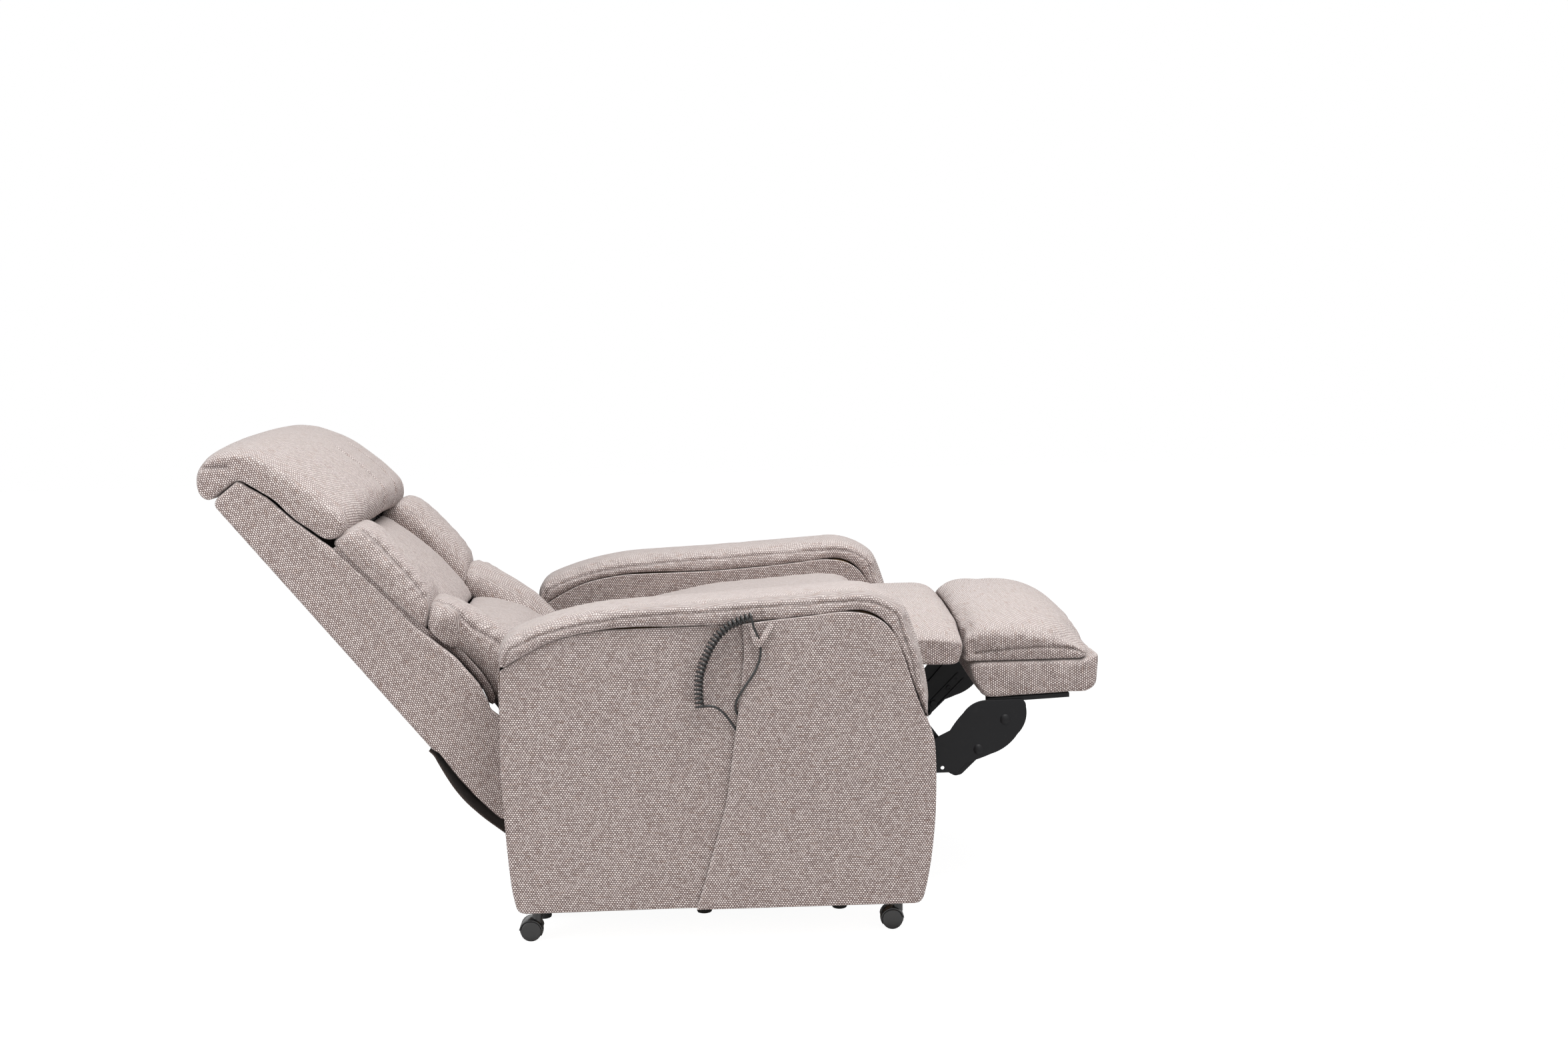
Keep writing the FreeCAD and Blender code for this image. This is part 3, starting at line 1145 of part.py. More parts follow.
def curl_frame(spline, share):
    """Point, direction and two square directions of the middle line at a share of its length."""
    parameter = spline.parameterAtDistance(share * spline.length(), spline.FirstParameter)
    point = spline.value(parameter)
    tangent = Vector(*spline.tangent(parameter)[0]).normalize()
    outward = Vector(-1, 0, 0)
    across = tangent.cross(outward)
    return point, tangent, outward, across


def curl_state(spline, turns, turn, radius):
    """Point and direction of the curled wire after a number of turns; it starts on the side of the arm."""
    step = 1e-4

    def place(value):
        point, tangent, outward, across = curl_frame(spline, min(max(value / turns, 0), 1))
        turned_angle = math.pi + 2 * math.pi * value
        return (point + outward * (radius * math.cos(turned_angle))
                + across * (radius * math.sin(turned_angle)))

    low = max(turn - step, 0)
    high = min(turn + step, turns)
    return place(turn), (place(high) - place(low)).normalize()


def tangent_arc(start, direction, end):
    """Arc from start along direction to end."""
    chord = end - start
    half = direction.getAngle(chord)
    radius = chord.Length / (2 * math.sin(half))
    normal = (chord - direction * chord.dot(direction)).normalize()
    centre = start + normal * radius
    to_middle = ((start + end) * 0.5 - centre).normalize()
    return Part.Arc(start, centre + to_middle * radius, end).toShape()


def biarc(start, start_way, end, end_way):
    """Two tangent arcs between two points with given directions."""
    span = end - start
    both = start_way + end_way
    closing = 2 * (1 - start_way.dot(end_way))
    reach = (-span.dot(both) + math.sqrt(span.dot(both) ** 2 + closing * span.dot(span))) / closing
    joint = (start + start_way * reach + end - end_way * reach) * 0.5
    second = tangent_arc(end, end_way * -1, joint)
    return [tangent_arc(start, start_way, joint), second]


def curly_cord():
    """Curled stretch of the handset cord, one unbroken wire with straight ends."""
    wire_radius = size("cord_diameter") / 2
    radius = size("curl_diameter") / 2 - wire_radius
    turns = size("curls")
    spline = spine_curve()
    steps = int(turns * 4)
    states = [curl_state(spline, turns, turns * number / steps, radius) for number in range(steps + 1)]
    tail = size("cord_diameter") * 1.5
    first = states[0][0] - states[0][1] * tail
    last = states[-1][0] + states[-1][1] * tail
    edges = [Part.LineSegment(first, states[0][0]).toShape()]
    for (start, start_way), (end, end_way) in zip(states, states[1:]):
        edges += biarc(start, start_way, end, end_way)
    edges.append(Part.LineSegment(states[-1][0], last).toShape())
    path = Part.Wire(edges)
    section = Part.Wire([Part.Circle(first, states[0][1], wire_radius).toShape()])
    item = add("Part::Feature", "handset_curly_cord")
    item.Shape = path.makePipeShell([section], True, False)
    samples = [curl_state(spline, turns, turns * number / 600, radius)[0] for number in range(601)]
    per_turn = 600 / turns
    least = min((samples[a] - samples[b]).Length for a in range(601)
                for b in range(a + int(per_turn * 0.6), min(601, a + int(per_turn * 1.5))))
    print("curls: wire length %.0f mm, least gap to itself %.2f mm" % (path.Length, least - 2 * wire_radius))
    return item, first, states[0][1], last, states[-1][1]


def cord_nodes():
    """Curly stretch, lead to the handset and lead through the loop into the arm."""
    curly, low_end, low_way, high_end, high_way = curly_cord()
    outer = ARM_OUT - 17
    slot_x = -outer - size("panel") * 1.5
    middle = POCKET_FRONT + POCKET_WIDTH / 2
    handset_top = POCKET_FLOOR + 0.3 + HANDSET_HEIGHT
    handset_x = -outer + 28
    lower = [low_end, low_end - low_way * 12]
    for x, forward, z in ((CORD_X + 8.5, 381, 426), (CORD_X + 11.5, 370, 415), (CORD_X + 15, 361, 402),
                          (slot_x - 1, 354, 389), (slot_x, 345, 378), (slot_x + 0.5, 333, 370),
                          (slot_x + 4, 319, 365), (slot_x + 11, 305, 366), (slot_x + 20, 291, 371),
                          (slot_x + 28, 277, 378), (slot_x + 34, 264, 386), (handset_x, 250, 392),
                          (handset_x, 237, 391), (handset_x, 226, 383)):
        lower.append(Vector(x, ARM_FRONT + forward, z))
    lower += [Vector(handset_x, middle + 1, 371), Vector(handset_x, middle, 359.5),
              Vector(handset_x, middle, handset_top)]
    upper = [high_end, high_end + high_way * 6.5]
    for x, forward, z in ((CORD_X - 6, 314.6, 567.5), (CORD_X - 4.3, 311.5, 560.5),
                          (CORD_X - 2.3, 308.3, 553.5), (CORD_X - 0.8, 305.8, 546),
                          (CORD_X, 304.2, 538), (CORD_X + 0.3, 303.6, 527),
                          (CORD_X + 1, 305.5, 512), (CORD_X + 2.5, 311.5, 496), (CORD_X + 4, 321, 480),
                          (CORD_X + 5.5, 332, 465), (CORD_X + 7.2, 342.5, 449.5),
                          (slot_x - 6, 349.5, 434.5), (slot_x - 0.8, 351, 420), (slot_x, 346, 409),
                          (slot_x, 336, 402.5), (slot_x + 1.2, 323, 401), (slot_x + 8, 311, 404),
                          (slot_x + 19, 302, 411), (slot_x + 35, 297, 420), (slot_x + 53, 297, 429),
                          (slot_x + 75, 300, 436), (slot_x + 99, 301, 440)):
        upper.append(Vector(x, ARM_FRONT + forward, z))
    upper.append(Vector(-HALF_SEAT - size("skin"), ARM_FRONT + 301, 441))
    return curly, cord_tube("handset_lead_lower", lower), cord_tube("handset_lead_upper", upper)


def cord_loop():
    """Cloth loop sewn into the seam of the band; the upper lead passes through it."""
    face = -ARM_OUT + 17 - 3 * size("panel") - SEAT_GAP
    cloth = 2
    y = ARM_FRONT + 304
    z = ARM_TOP - 56
    front = CORD_X - 6.5
    outline = rounded([(y + 16, z), (y - 16, z), (y - 2, z - 34), (y + 4, z - 34)], [2, 2, 3, 3])
    inner = side_plate("loop_inner", outline, face - cloth, face)
    strap = rounded([(y + 12, z - 14), (y - 10, z - 14), (y - 2, z - 34), (y + 4, z - 34)], [2, 2, 3, 3])
    outer = side_plate("loop_outer", strap, front, front + cloth)
    bridges = [box("loop_bridge_" + name, (front, start, z - 28), (face, start + cloth, z - 16))
               for name, start in (("front", y - 9), ("rear", y + 7))]
    return fused("cord_loop", [inner, outer] + bridges)


nodes = [base_frame(), base_feet(), lift_arm(), front_lift_links()]
right_plate = chassis_plate()
nodes += [right_plate, mirrored("chassis_plate_left", right_plate), chassis_cross_tubes()]
rear_panel, front_panel = outer_panels()
frame_right = arm_frame()
band_right = arm_pad()
lining_right = side_plate("inner_panel_right", arm_outline(0, 0), "-(Sizes.seat_width / 2) - Sizes.skin",
                          "-(Sizes.seat_width / 2)")
for piece in (frame_right, band_right, rear_panel, front_panel, lining_right):
    nodes += [piece, mirrored(piece.Label.replace("_right", "_left"), piece)]
plates = []
for corner, side, swivel_y in (("rear_right", -1, ARM_REAR - 49), ("rear_left", 1, ARM_REAR - 49),
                               ("front_right", -1, ARM_FRONT + 67), ("front_left", 1, ARM_FRONT + 67)):
    swivel_plate, hood, wheels = castor(corner, side, swivel_y)
    plates.append(swivel_plate)
    nodes += [hood, wheels]
nodes.append(group("castor_plates", plates))
nodes += [seat_frame(), seat_springs(), seat_cushion(), chaise_pad()]
nodes += [footrest_pad(), footrest_board(), footrest_crank(), footrest_bracket(), cover_plate(),
          cover_bolts()]
nodes += [back_shell(), back_frame(), headrest_bracket(), headrest_pad(), rear_apron()]
bolster_upper, bolster_lower, pad_upper, pad_lower = back_cushions()
nodes += [bolster_upper, mirrored("bolster_upper_left", bolster_upper)]
nodes += [bolster_lower, mirrored("bolster_lower_left", bolster_lower), pad_upper, pad_lower]
nodes += actuator("lift", ACTUATOR_BASE, LIFT_EYE, 0, EYE_PIN + size("lift_eye_play"))
nodes += actuator("back", BACK_MOTOR_PIVOT, BACK_EYE, BACK_ACTUATOR_X, EYE_PIN + size("back_eye_play"))
nodes.append(control_box())
nodes += handset_pieces()
nodes += cord_nodes()
nodes.append(cord_loop())
doc.recompute()

for item in doc.Objects:
    if "Invalid" in item.State or "Error" in item.State:
        raise RuntimeError("failed object: " + item.Label)
for node in nodes:
    shape = node.Shape
    if shape.isNull() or not shape.isValid() or not shape.Solids:
        raise RuntimeError("bad shape: " + node.Label)
for node in nodes:
    node.Shape.exportStep("parts/%s.step" % node.Label)
print(len(nodes), "nodes")
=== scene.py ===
"""Looks of the lift recliner chair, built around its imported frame.

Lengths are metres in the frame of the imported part: X across the chair, front towards -Y, Z up.
Side outlines are (y, z) points in millimetres. Places on the back are (down, out) in millimetres
from the top of its rear face.
"""

import json
import logging
import math
from dataclasses import dataclass, replace
from enum import Enum
from typing import Iterable, Sequence

import bmesh
import bpy
import numpy as np
from mathutils import Matrix, Vector
from mathutils.bvhtree import BVHTree

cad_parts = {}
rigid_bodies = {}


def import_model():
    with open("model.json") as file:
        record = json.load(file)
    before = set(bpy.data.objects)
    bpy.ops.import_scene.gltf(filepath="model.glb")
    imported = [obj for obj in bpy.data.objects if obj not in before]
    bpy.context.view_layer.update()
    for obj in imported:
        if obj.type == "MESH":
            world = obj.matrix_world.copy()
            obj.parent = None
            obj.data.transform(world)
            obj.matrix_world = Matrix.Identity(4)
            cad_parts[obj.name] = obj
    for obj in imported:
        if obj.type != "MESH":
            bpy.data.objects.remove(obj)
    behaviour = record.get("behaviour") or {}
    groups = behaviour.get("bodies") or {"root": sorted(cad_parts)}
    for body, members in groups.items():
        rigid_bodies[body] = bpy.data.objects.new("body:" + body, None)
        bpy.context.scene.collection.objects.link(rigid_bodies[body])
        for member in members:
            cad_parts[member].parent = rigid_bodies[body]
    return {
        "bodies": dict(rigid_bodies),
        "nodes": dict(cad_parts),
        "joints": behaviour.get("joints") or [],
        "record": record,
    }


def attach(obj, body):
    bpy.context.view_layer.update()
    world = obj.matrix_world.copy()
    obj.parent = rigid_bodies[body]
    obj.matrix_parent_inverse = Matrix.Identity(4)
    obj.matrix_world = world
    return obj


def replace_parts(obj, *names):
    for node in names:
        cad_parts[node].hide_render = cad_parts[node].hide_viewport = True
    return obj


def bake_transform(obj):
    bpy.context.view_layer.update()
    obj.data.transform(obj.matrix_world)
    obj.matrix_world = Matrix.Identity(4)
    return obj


Pair = tuple[float, float]
Triple = tuple[float, float, float]
LOG = logging.getLogger("lift_recliner")
MM = 0.001
SIDES = ((-1, "right"), (1, "left"))
BACK_LEAN = 38.7
BACK_ANGLE = math.radians(BACK_LEAN)
BACK_DOWN = np.array([0.0, -math.sin(BACK_ANGLE), -math.cos(BACK_ANGLE)])
BACK_OUT = np.array([0.0, -math.cos(BACK_ANGLE), math.sin(BACK_ANGLE)])
BACK_LENGTH, BACK_DEPTH, BACK_HALF_WIDTH = 670, 192, 289
MAIN_PIVOT = np.array([0.0, 205.0, 395.0])
BACK_TOP = MAIN_PIVOT - BACK_DOWN * BACK_LENGTH - BACK_OUT * BACK_DEPTH
FOLD_CENTRE = (-470.0, 500.0)
AHEAD_OF_FOLD = -0.03
NEAREST_BATCH = 20000
SLICES, SLICE_MARGIN, SLICE_SHIFT, OUTLINE_POINTS = 9, 0.04, 0.00007, 160
SIDEWAYS, SIDEWAYS_FLAT = 0.72, 0.3
LAY_BACK = 0.6
STITCH_REACH = 0.03
HELD_REACH = 1.6
CLOTH_FRAMES = 12
CLOTH_SETTINGS = {"quality": 3, "mass": 0.3, "tension_stiffness": 12, "compression_stiffness": 12,
                  "shear_stiffness": 4, "bending_stiffness": 0.4, "use_pressure": True,
                  "uniform_pressure_force": 4.0, "shrink_min": -0.035, "vertex_group_mass": "held"}
PLANE_AREA = 0.00012
# Colour towards which painted shade darkens the cloth in seam grooves and on the gussets
PAINTED_SHADE_TINT = (0.13, 0.10, 0.10)
FRAME: dict = {}


def back_point(x: float, down: float, out: float) -> Triple:
    """Place on the back, in metres.

    Args:
        x: Place across the chair, mm.
        down: Distance down the back from its top, mm.
        out: Distance out from its rear face, mm.

    Returns:
        The point in metres.
    """
    point = BACK_TOP + BACK_DOWN * down + BACK_OUT * out
    return (x * MM, float(point[1]) * MM, float(point[2]) * MM)


def smooth_line(points: Sequence[Sequence[float]], steps: int = 8) -> np.ndarray:
    """Catmull-Rom line through points.

    Args:
        points: Two or more points of any dimension.
        steps: Points made on each span.

    Returns:
        The line's points, one a row.
    """
    pts = np.array(points, float)
    full = np.vstack([2 * pts[0] - pts[1], pts, 2 * pts[-1] - pts[-2]])
    line = []
    for k in range(1, len(full) - 2):
        p0, p1, p2, p3 = full[k - 1:k + 3]
        for t in np.linspace(0, 1, steps, endpoint=False):
            line.append(0.5 * (2 * p1 + (p2 - p0) * t + (2 * p0 - 5 * p1 + 4 * p2 - p3) * t ** 2
                               + (3 * p1 - p0 - 3 * p2 + p3) * t ** 3))
    line.append(pts[-1])
    return np.array(line)


def nearest(points: np.ndarray, line: np.ndarray) -> tuple[np.ndarray, np.ndarray]:
    """Distance of each point to a polyline, and how far along the line the nearest place is.

    Args:
        points: Points, one a row.
        line: The polyline's points, one a row.

    Returns:
        Distances and lengths along the line.
    """
    span = np.diff(line, axis=0)
    size = np.maximum((span ** 2).sum(1), 1e-12)
    length = np.sqrt(size)
    start = np.concatenate([[0], np.cumsum(length)[:-1]])
    distance = np.empty(len(points))
    along = np.empty(len(points))
    for low in range(0, len(points), NEAREST_BATCH):
        batch = slice(low, low + NEAREST_BATCH)
        offset = points[batch, None, :] - line[None, :-1, :]
        share = np.clip((offset * span).sum(2) / size, 0, 1)
        gap = ((offset - share[:, :, None] * span) ** 2).sum(2)
        best = gap.argmin(1)
        rows = np.arange(len(best))
        distance[batch] = np.sqrt(gap[rows, best])
        along[batch] = start[best] + share[rows, best] * length[best]
    return distance, along


def tangents(line: np.ndarray) -> np.ndarray:
    """Unit directions along a line at its points."""
    step = np.gradient(line, axis=0)
    return step / np.linalg.norm(step, axis=1)[:, None]


def beside(line: np.ndarray) -> np.ndarray:
    """Unit directions square to a line in its plane, at its points."""
    step = tangents(line)
    return np.stack([step[:, 1], -step[:, 0]], 1)


def lengths(line: np.ndarray) -> np.ndarray:
    """Length of a line from its start to each of its points."""
    return np.concatenate([[0], np.cumsum(np.linalg.norm(np.diff(line, axis=0), axis=1))])


def at_lengths(line: np.ndarray, places: np.ndarray) -> np.ndarray:
    """Points of a line at the given lengths from its start."""
    return np.stack([np.interp(places, lengths(line), part) for part in line.T], 1)


# Finishes


class NodeChain:
    """Small helper that adds shader nodes to one material and links them."""

    def __init__(self, name: str) -> None:
        """Starts a material with an empty Principled shader.

        Args:
            name: Name of the material.
        """
        self.material = bpy.data.materials.new(name)
        self.material.use_nodes = True
        self.tree = self.material.node_tree
        self.shader = self.tree.nodes["Principled BSDF"]

    def add(self, kind: str, *values: object, **settings: object) -> bpy.types.Node:
        """Adds one node.

        Args:
            kind: Node type name.
            values: What goes into its first sockets.
            settings: Node properties by name.

        Returns:
            The node.
        """
        node = self.tree.nodes.new(kind)
        for key, value in settings.items():
            setattr(node, key, value)
        for index, value in enumerate(values):
            self.link(value, node, index)
        return node

    def link(self, start: object, node: bpy.types.Node, socket: int | str) -> None:
        """Links an output, or sets a plain value, into a socket of a node.

        Args:
            start: Output socket or plain value.
            node: Node that receives it.
            socket: Number or name of the node's input.
        """
        target = node.inputs[socket]
        if isinstance(start, bpy.types.NodeSocket):
            self.tree.links.new(start, target)
        else:
            target.default_value = start

    def math(self, operation: str, first: object, second: object = 0.0,
             third: object = 0.0) -> bpy.types.NodeSocket:
        """Adds a Math node and returns its output."""
        return self.add("ShaderNodeMath", first, second, third, operation=operation).outputs[0]

    def mapped(self, place: object, scale: Triple) -> bpy.types.NodeSocket:
        """Scales a place and returns the new one.

        Args:
            place: Vector output.
            scale: Scale along each axis.

        Returns:
            The scaled vector.
        """
        node = self.add("ShaderNodeMapping", place)
        self.link(scale, node, "Scale")
        return node.outputs[0]

    def noise(self, vector: object, scale: float, detail: float = 2.0,
              output: str = "Fac") -> bpy.types.NodeSocket:
        """Adds a Noise Texture and returns its factor, or its colour.

        Args:
            vector: Place that the noise reads.
            scale: Waves to a metre.
            detail: Octaves above the first.
            output: Fac for grey noise, Color for three channels.

        Returns:
            The output socket.
        """
        node = self.add("ShaderNodeTexNoise", vector)
        self.link(scale, node, "Scale")
        self.link(detail, node, "Detail")
        return node.outputs[output]

    def ramp(self, factor: object, stops: Sequence[tuple[float, Triple]]) -> bpy.types.NodeSocket:
        """Adds a colour ramp with the given (place, colour) stops and returns its colour.

        Args:
            factor: Grey value.
            stops: Places from 0 to 1 with their colours.

        Returns:
            The colour.
        """
        node = self.add("ShaderNodeValToRGB", factor)
        elements = node.color_ramp.elements
        while len(elements) < len(stops):
            elements.new(0.5)
        for element, (place, colour) in zip(elements, stops):
            element.position = place
            element.color = (*colour, 1.0)
        return node.outputs[0]

    def mix(self, kind: str, factor: object, first: object, second: object) -> bpy.types.NodeSocket:
        """Adds a colour mix and returns its result.

        Args:
            kind: Blend type.
            factor: Share of the second colour.
            first: Colour or output below.
            second: Colour or output laid over it.

        Returns:
            The mixed colour.
        """
        node = self.add("ShaderNodeMix", factor, data_type="RGBA", blend_type=kind)
        for value, socket in ((first, 6), (second, 7)):
            self.link((*value, 1.0) if isinstance(value, tuple) else value, node, socket)
        return node.outputs[2]

    def shade(self, inputs: dict[str, object]) -> None:
        """Links or sets inputs of the shader by name."""
        for name, value in inputs.items():
            self.link(value, self.shader, name)

    def bump(self, height: object, distance: float, strength: float = 1.0) -> None:
        """Sends a height, worth distance metres at 1, into the shader's normal.

        Args:
            height: Grey value.
            distance: Height in metres at a value of 1.
            strength: Share of the bump that shows.
        """
        node = self.add("ShaderNodeBump")
        self.link(strength, node, "Strength")
        self.link(distance, node, "Distance")
        self.link(height, node, "Height")
        self.tree.links.new(node.outputs[0], self.shader.inputs["Normal"])


@dataclass(frozen=True)
class Weave:
    """Coarse basket cloth whose light yarns stand in staggered rows over a dark ground."""

    name: str
    ground: Triple
    middle: Triple
    yarn: Triple
    fleck: Triple
    pitch_along: float = 0.0046
    pitch_rows: float = 0.00345
    relief: float = 0.0008

    def build(self) -> bpy.types.Material:
        """Makes the material; its pattern follows each piece's own "weave" map, with painted light
        on faces that look up and painted shade in seams.

        Returns:
            The material.
        """
        chain = NodeChain(self.name)
        place = chain.add("ShaderNodeUVMap", uv_map="weave").outputs[0]
        wander = chain.noise(place, 60.0, output="Color")
        centred = chain.add("ShaderNodeVectorMath", wander, (0.5, 0.5, 0.5), operation="SUBTRACT")
        moved = chain.add("ShaderNodeVectorMath", centred.outputs[0], (0.0030, 0.0012, 0.0), place,
                          operation="MULTIPLY_ADD")
        parts = chain.add("ShaderNodeSeparateXYZ", moved.outputs[0]).outputs
        rows = chain.math("DIVIDE", parts[1], self.pitch_rows)
        row = chain.math("FLOOR", rows)
        shifted = chain.math("MULTIPLY_ADD", row, 0.5,
                             chain.math("DIVIDE", parts[0], self.pitch_along))
        column = chain.math("FLOOR", shifted)
        cell = chain.add("ShaderNodeCombineXYZ", column, row)
        speck = chain.add("ShaderNodeTexWhiteNoise", cell.outputs[0],
                          noise_dimensions="2D").outputs[0]
        squares = []
        for value, whole, narrow in ((shifted, column, 2.25), (rows, row, 2.15)):
            offset = chain.math("SUBTRACT", chain.math("SUBTRACT", value, whole), 0.5)
            squares.append(chain.math("POWER", chain.math("MULTIPLY", offset, narrow), 2.0))
        tuft = chain.math("MAXIMUM", chain.math("SUBTRACT", 1.0, chain.math("ADD", *squares)), 0.0)
        uneven = chain.math("MULTIPLY_ADD", speck, 0.5, 0.6)
        height = chain.math("MULTIPLY", chain.math("POWER", tuft, 0.7), uneven)
        streak = chain.noise(chain.mapped(place, (48.0, 290.0, 1.0)), 1.0, 1.0)
        streaked = chain.math("ADD", height, chain.math("MULTIPLY_ADD", streak, 0.26, -0.11))
        weave = chain.ramp(streaked, [(0.04, self.ground), (0.42, self.middle), (0.86, self.yarn)])
        # Painted light: faces that look up are mixed towards a lighter, even yarn colour, as if lit
        # from above
        facing = chain.add("ShaderNodeSeparateXYZ",
                           chain.add("ShaderNodeNewGeometry").outputs["Normal"])
        painted_top_light = chain.math("MULTIPLY", chain.math("MAXIMUM", facing.outputs[2], 0.0), 0.62)
        cloth = chain.mix("MIX", painted_top_light, weave, tuple(0.62 * c for c in self.yarn))
        warm = chain.ramp(chain.noise(chain.mapped(place, (55.0, 210.0, 1.0)), 1.0, 2.0),
                          [(0.54, (0.0, 0.0, 0.0)), (0.72, (0.5, 0.5, 0.5))])
        mixed = chain.mix("MULTIPLY", warm, cloth, self.fleck)
        # Painted shade: each vertex's stored shade value darkens the cloth towards the shade tint,
        # deep in seam grooves and all over the gussets
        painted_shade = chain.add("ShaderNodeAttribute", attribute_name="painted_shade").outputs["Fac"]
        colour = chain.mix("MULTIPLY", chain.math("MULTIPLY", painted_shade, 0.8), mixed, PAINTED_SHADE_TINT)
        chain.shade({"Base Color": colour, "Roughness": 0.95, "Specular IOR Level": 0.15,
                     "Sheen Weight": 0.16, "Sheen Roughness": 0.5})
        fibre = chain.noise(place, 2600.0, 1.0)
        chain.bump(chain.math("MULTIPLY_ADD", fibre, 0.3, height), self.relief, 0.85)
        return chain.material


@dataclass(frozen=True)
class Lacquer:
    """Painted or plated metal: a satin coat with fine orange peel and rubbed patches."""

    name: str
    colour: Triple
    rubbed: Triple
    roughness: float = 0.42
    metallic: float = 0.0
    peel: float = 0.00004

    def build(self) -> bpy.types.Material:
        """Makes the material on Object coordinates.

        Returns:
            The material.
        """
        chain = NodeChain(self.name)
        place = chain.add("ShaderNodeTexCoord").outputs["Object"]
        cloud = chain.noise(place, 14.0, 3.0)
        rub = chain.ramp(chain.noise(place, 55.0, 4.0),
                         [(0.60, (0, 0, 0)), (0.78, (0.6, 0.6, 0.6))])
        chain.shade({"Base Color": chain.mix("MIX", rub, self.colour, self.rubbed),
                     "Roughness": chain.math("MULTIPLY_ADD", cloud, 0.18, self.roughness - 0.09),
                     "Metallic": self.metallic,
                     "Specular IOR Level": 0.5 if self.metallic else 0.2})
        chain.bump(chain.noise(place, 900.0, 2.0), self.peel)
        return chain.material


@dataclass(frozen=True)
class Moulded:
    """Moulded plastic or rubber with a fine grain."""

    name: str
    colour: Triple
    roughness: float
    grain: float
    grain_scale: float = 1600.0
    specular: float = 0.5

    def build(self) -> bpy.types.Material:
        """Makes the material on Object coordinates.

        Returns:
            The material.
        """
        chain = NodeChain(self.name)
        place = chain.add("ShaderNodeTexCoord").outputs["Object"]
        cloud = chain.noise(place, 20.0, 3.0)
        tint = tuple(min(1.0, part * 1.5 + 0.002) for part in self.colour)
        chain.shade({"Base Color": chain.mix("MIX", cloud, self.colour, tint),
                     "Roughness": chain.math("MULTIPLY_ADD", cloud, 0.14, self.roughness - 0.07),
                     "Specular IOR Level": self.specular})
        chain.bump(chain.noise(place, self.grain_scale, 1.0), self.grain)
        return chain.material


@dataclass(frozen=True)
class Timber:
    """Planed softwood with rings along Y and Z rails."""

    name: str
    light: Triple
    dark: Triple

    def build(self) -> bpy.types.Material:
        """Makes the material on Object coordinates.

        Returns:
            The material.
        """
        chain = NodeChain(self.name)
        place = chain.mapped(chain.add("ShaderNodeTexCoord").outputs["Object"], (90.0, 6.0, 60.0))
        rings = chain.noise(place, 1.0, 4.0)
        chain.shade({"Base Color": chain.ramp(rings, [(0.35, self.light), (0.65, self.dark)]),
                     "Roughness": 0.7})
        chain.bump(rings, 0.0002)
        return chain.material


class Finish(Enum):
    """Every finish of the chair."""

    COVER = Weave("cover_cloth", (0.115, 0.080, 0.076), (0.400, 0.322, 0.300),
                  (0.880, 0.790, 0.760), (0.70, 0.56, 0.48))
    LINING = Weave("lining_cloth", (0.010, 0.009, 0.009), (0.030, 0.027, 0.026),
                   (0.060, 0.055, 0.052), (0.7, 0.7, 0.7), 0.0012, 0.0010, 0.0002)
    APRON = Weave("apron_cloth", (0.016, 0.012, 0.010), (0.070, 0.054, 0.048),
                  (0.160, 0.125, 0.110), (0.6, 0.5, 0.45), 0.0030, 0.0022, 0.0004)
    STEEL = Lacquer("frame_paint", (0.009, 0.009, 0.010), (0.016, 0.016, 0.017), 0.42)
    ZINC = Lacquer("zinc_plate", (0.46, 0.46, 0.47), (0.60, 0.60, 0.62), 0.30, 1.0)
    WOOD = Timber("softwood", (0.46, 0.30, 0.15), (0.30, 0.17, 0.07))
    RUBBER = Moulded("foot_rubber", (0.012, 0.012, 0.012), 0.75, 0.0001)
    CASTOR = Moulded("castor_plastic", (0.005, 0.005, 0.006), 0.20, 0.000005, specular=0.2)
    MOTOR = Moulded("motor_plastic", (0.020, 0.020, 0.022), 0.52, 0.00006)
    CORD = Moulded("cord_plastic", (0.003, 0.003, 0.004), 0.15, 0.000004, specular=0.16)
    KEY = Moulded("key_plastic", (0.11, 0.115, 0.125), 0.45, 0.00004)
    THREAD = Moulded("seam_thread", (0.235, 0.185, 0.165), 0.85, 0.00005, 4000.0)

    def material(self) -> bpy.types.Material:
        """The finish's material, made the first time it is asked for."""
        found = bpy.data.materials.get(self.value.name)
        return found or self.value.build()


SLOT_FINISH = {
    "cover_fabric": Finish.COVER, "frame_steel": Finish.STEEL, "bright_steel": Finish.ZINC,
    "timber": Finish.WOOD, "foot_rubber": Finish.RUBBER, "castor_plastic": Finish.CASTOR,
    "motor_plastic": Finish.MOTOR, "cord_plastic": Finish.CORD, "key_plastic": Finish.KEY,
    "lining_fabric": Finish.LINING,
}


# Meshes


def linked(name: str, data: bpy.types.ID) -> bpy.types.Object:
    """New object at the origin with the given mesh or curve.

    Args:
        name: Name of the object.
        data: Its mesh, curve, lamp or camera.

    Returns:
        The object.
    """
    item = bpy.data.objects.new(name, data)
    bpy.context.scene.collection.objects.link(item)
    return item


def dressed(item: bpy.types.Object, finish: Finish, smooth: bool = True) -> bpy.types.Object:
    """Gives an object one finish and smooth or flat faces.

    Args:
        item: Mesh or curve object.
        finish: The finish.
        smooth: Whether its faces are smooth.

    Returns:
        The same object.
    """
    item.data.materials.clear()
    item.data.materials.append(finish.material())
    if item.type == "MESH":
        item.data.polygons.foreach_set("use_smooth", [smooth] * len(item.data.polygons))
    LOG.info("%s: %s", item.name, finish.value.name)
    return item


def settled(item: bpy.types.Object) -> bpy.types.Object:
    """Turns an object and its modifiers into a plain mesh of the same name.

    Args:
        item: Mesh or curve object with live modifiers.

    Returns:
        The same object with a plain mesh, or for a curve a new mesh object.
    """
    graph = bpy.context.evaluated_depsgraph_get()
    mesh = bpy.data.meshes.new_from_object(item.evaluated_get(graph), depsgraph=graph)
    if item.type == "MESH":
        item.modifiers.clear()
        old = item.data
        item.data = mesh
        bpy.data.meshes.remove(old)
        return item
    name = item.name
    bpy.data.objects.remove(item)
    return linked(name, mesh)


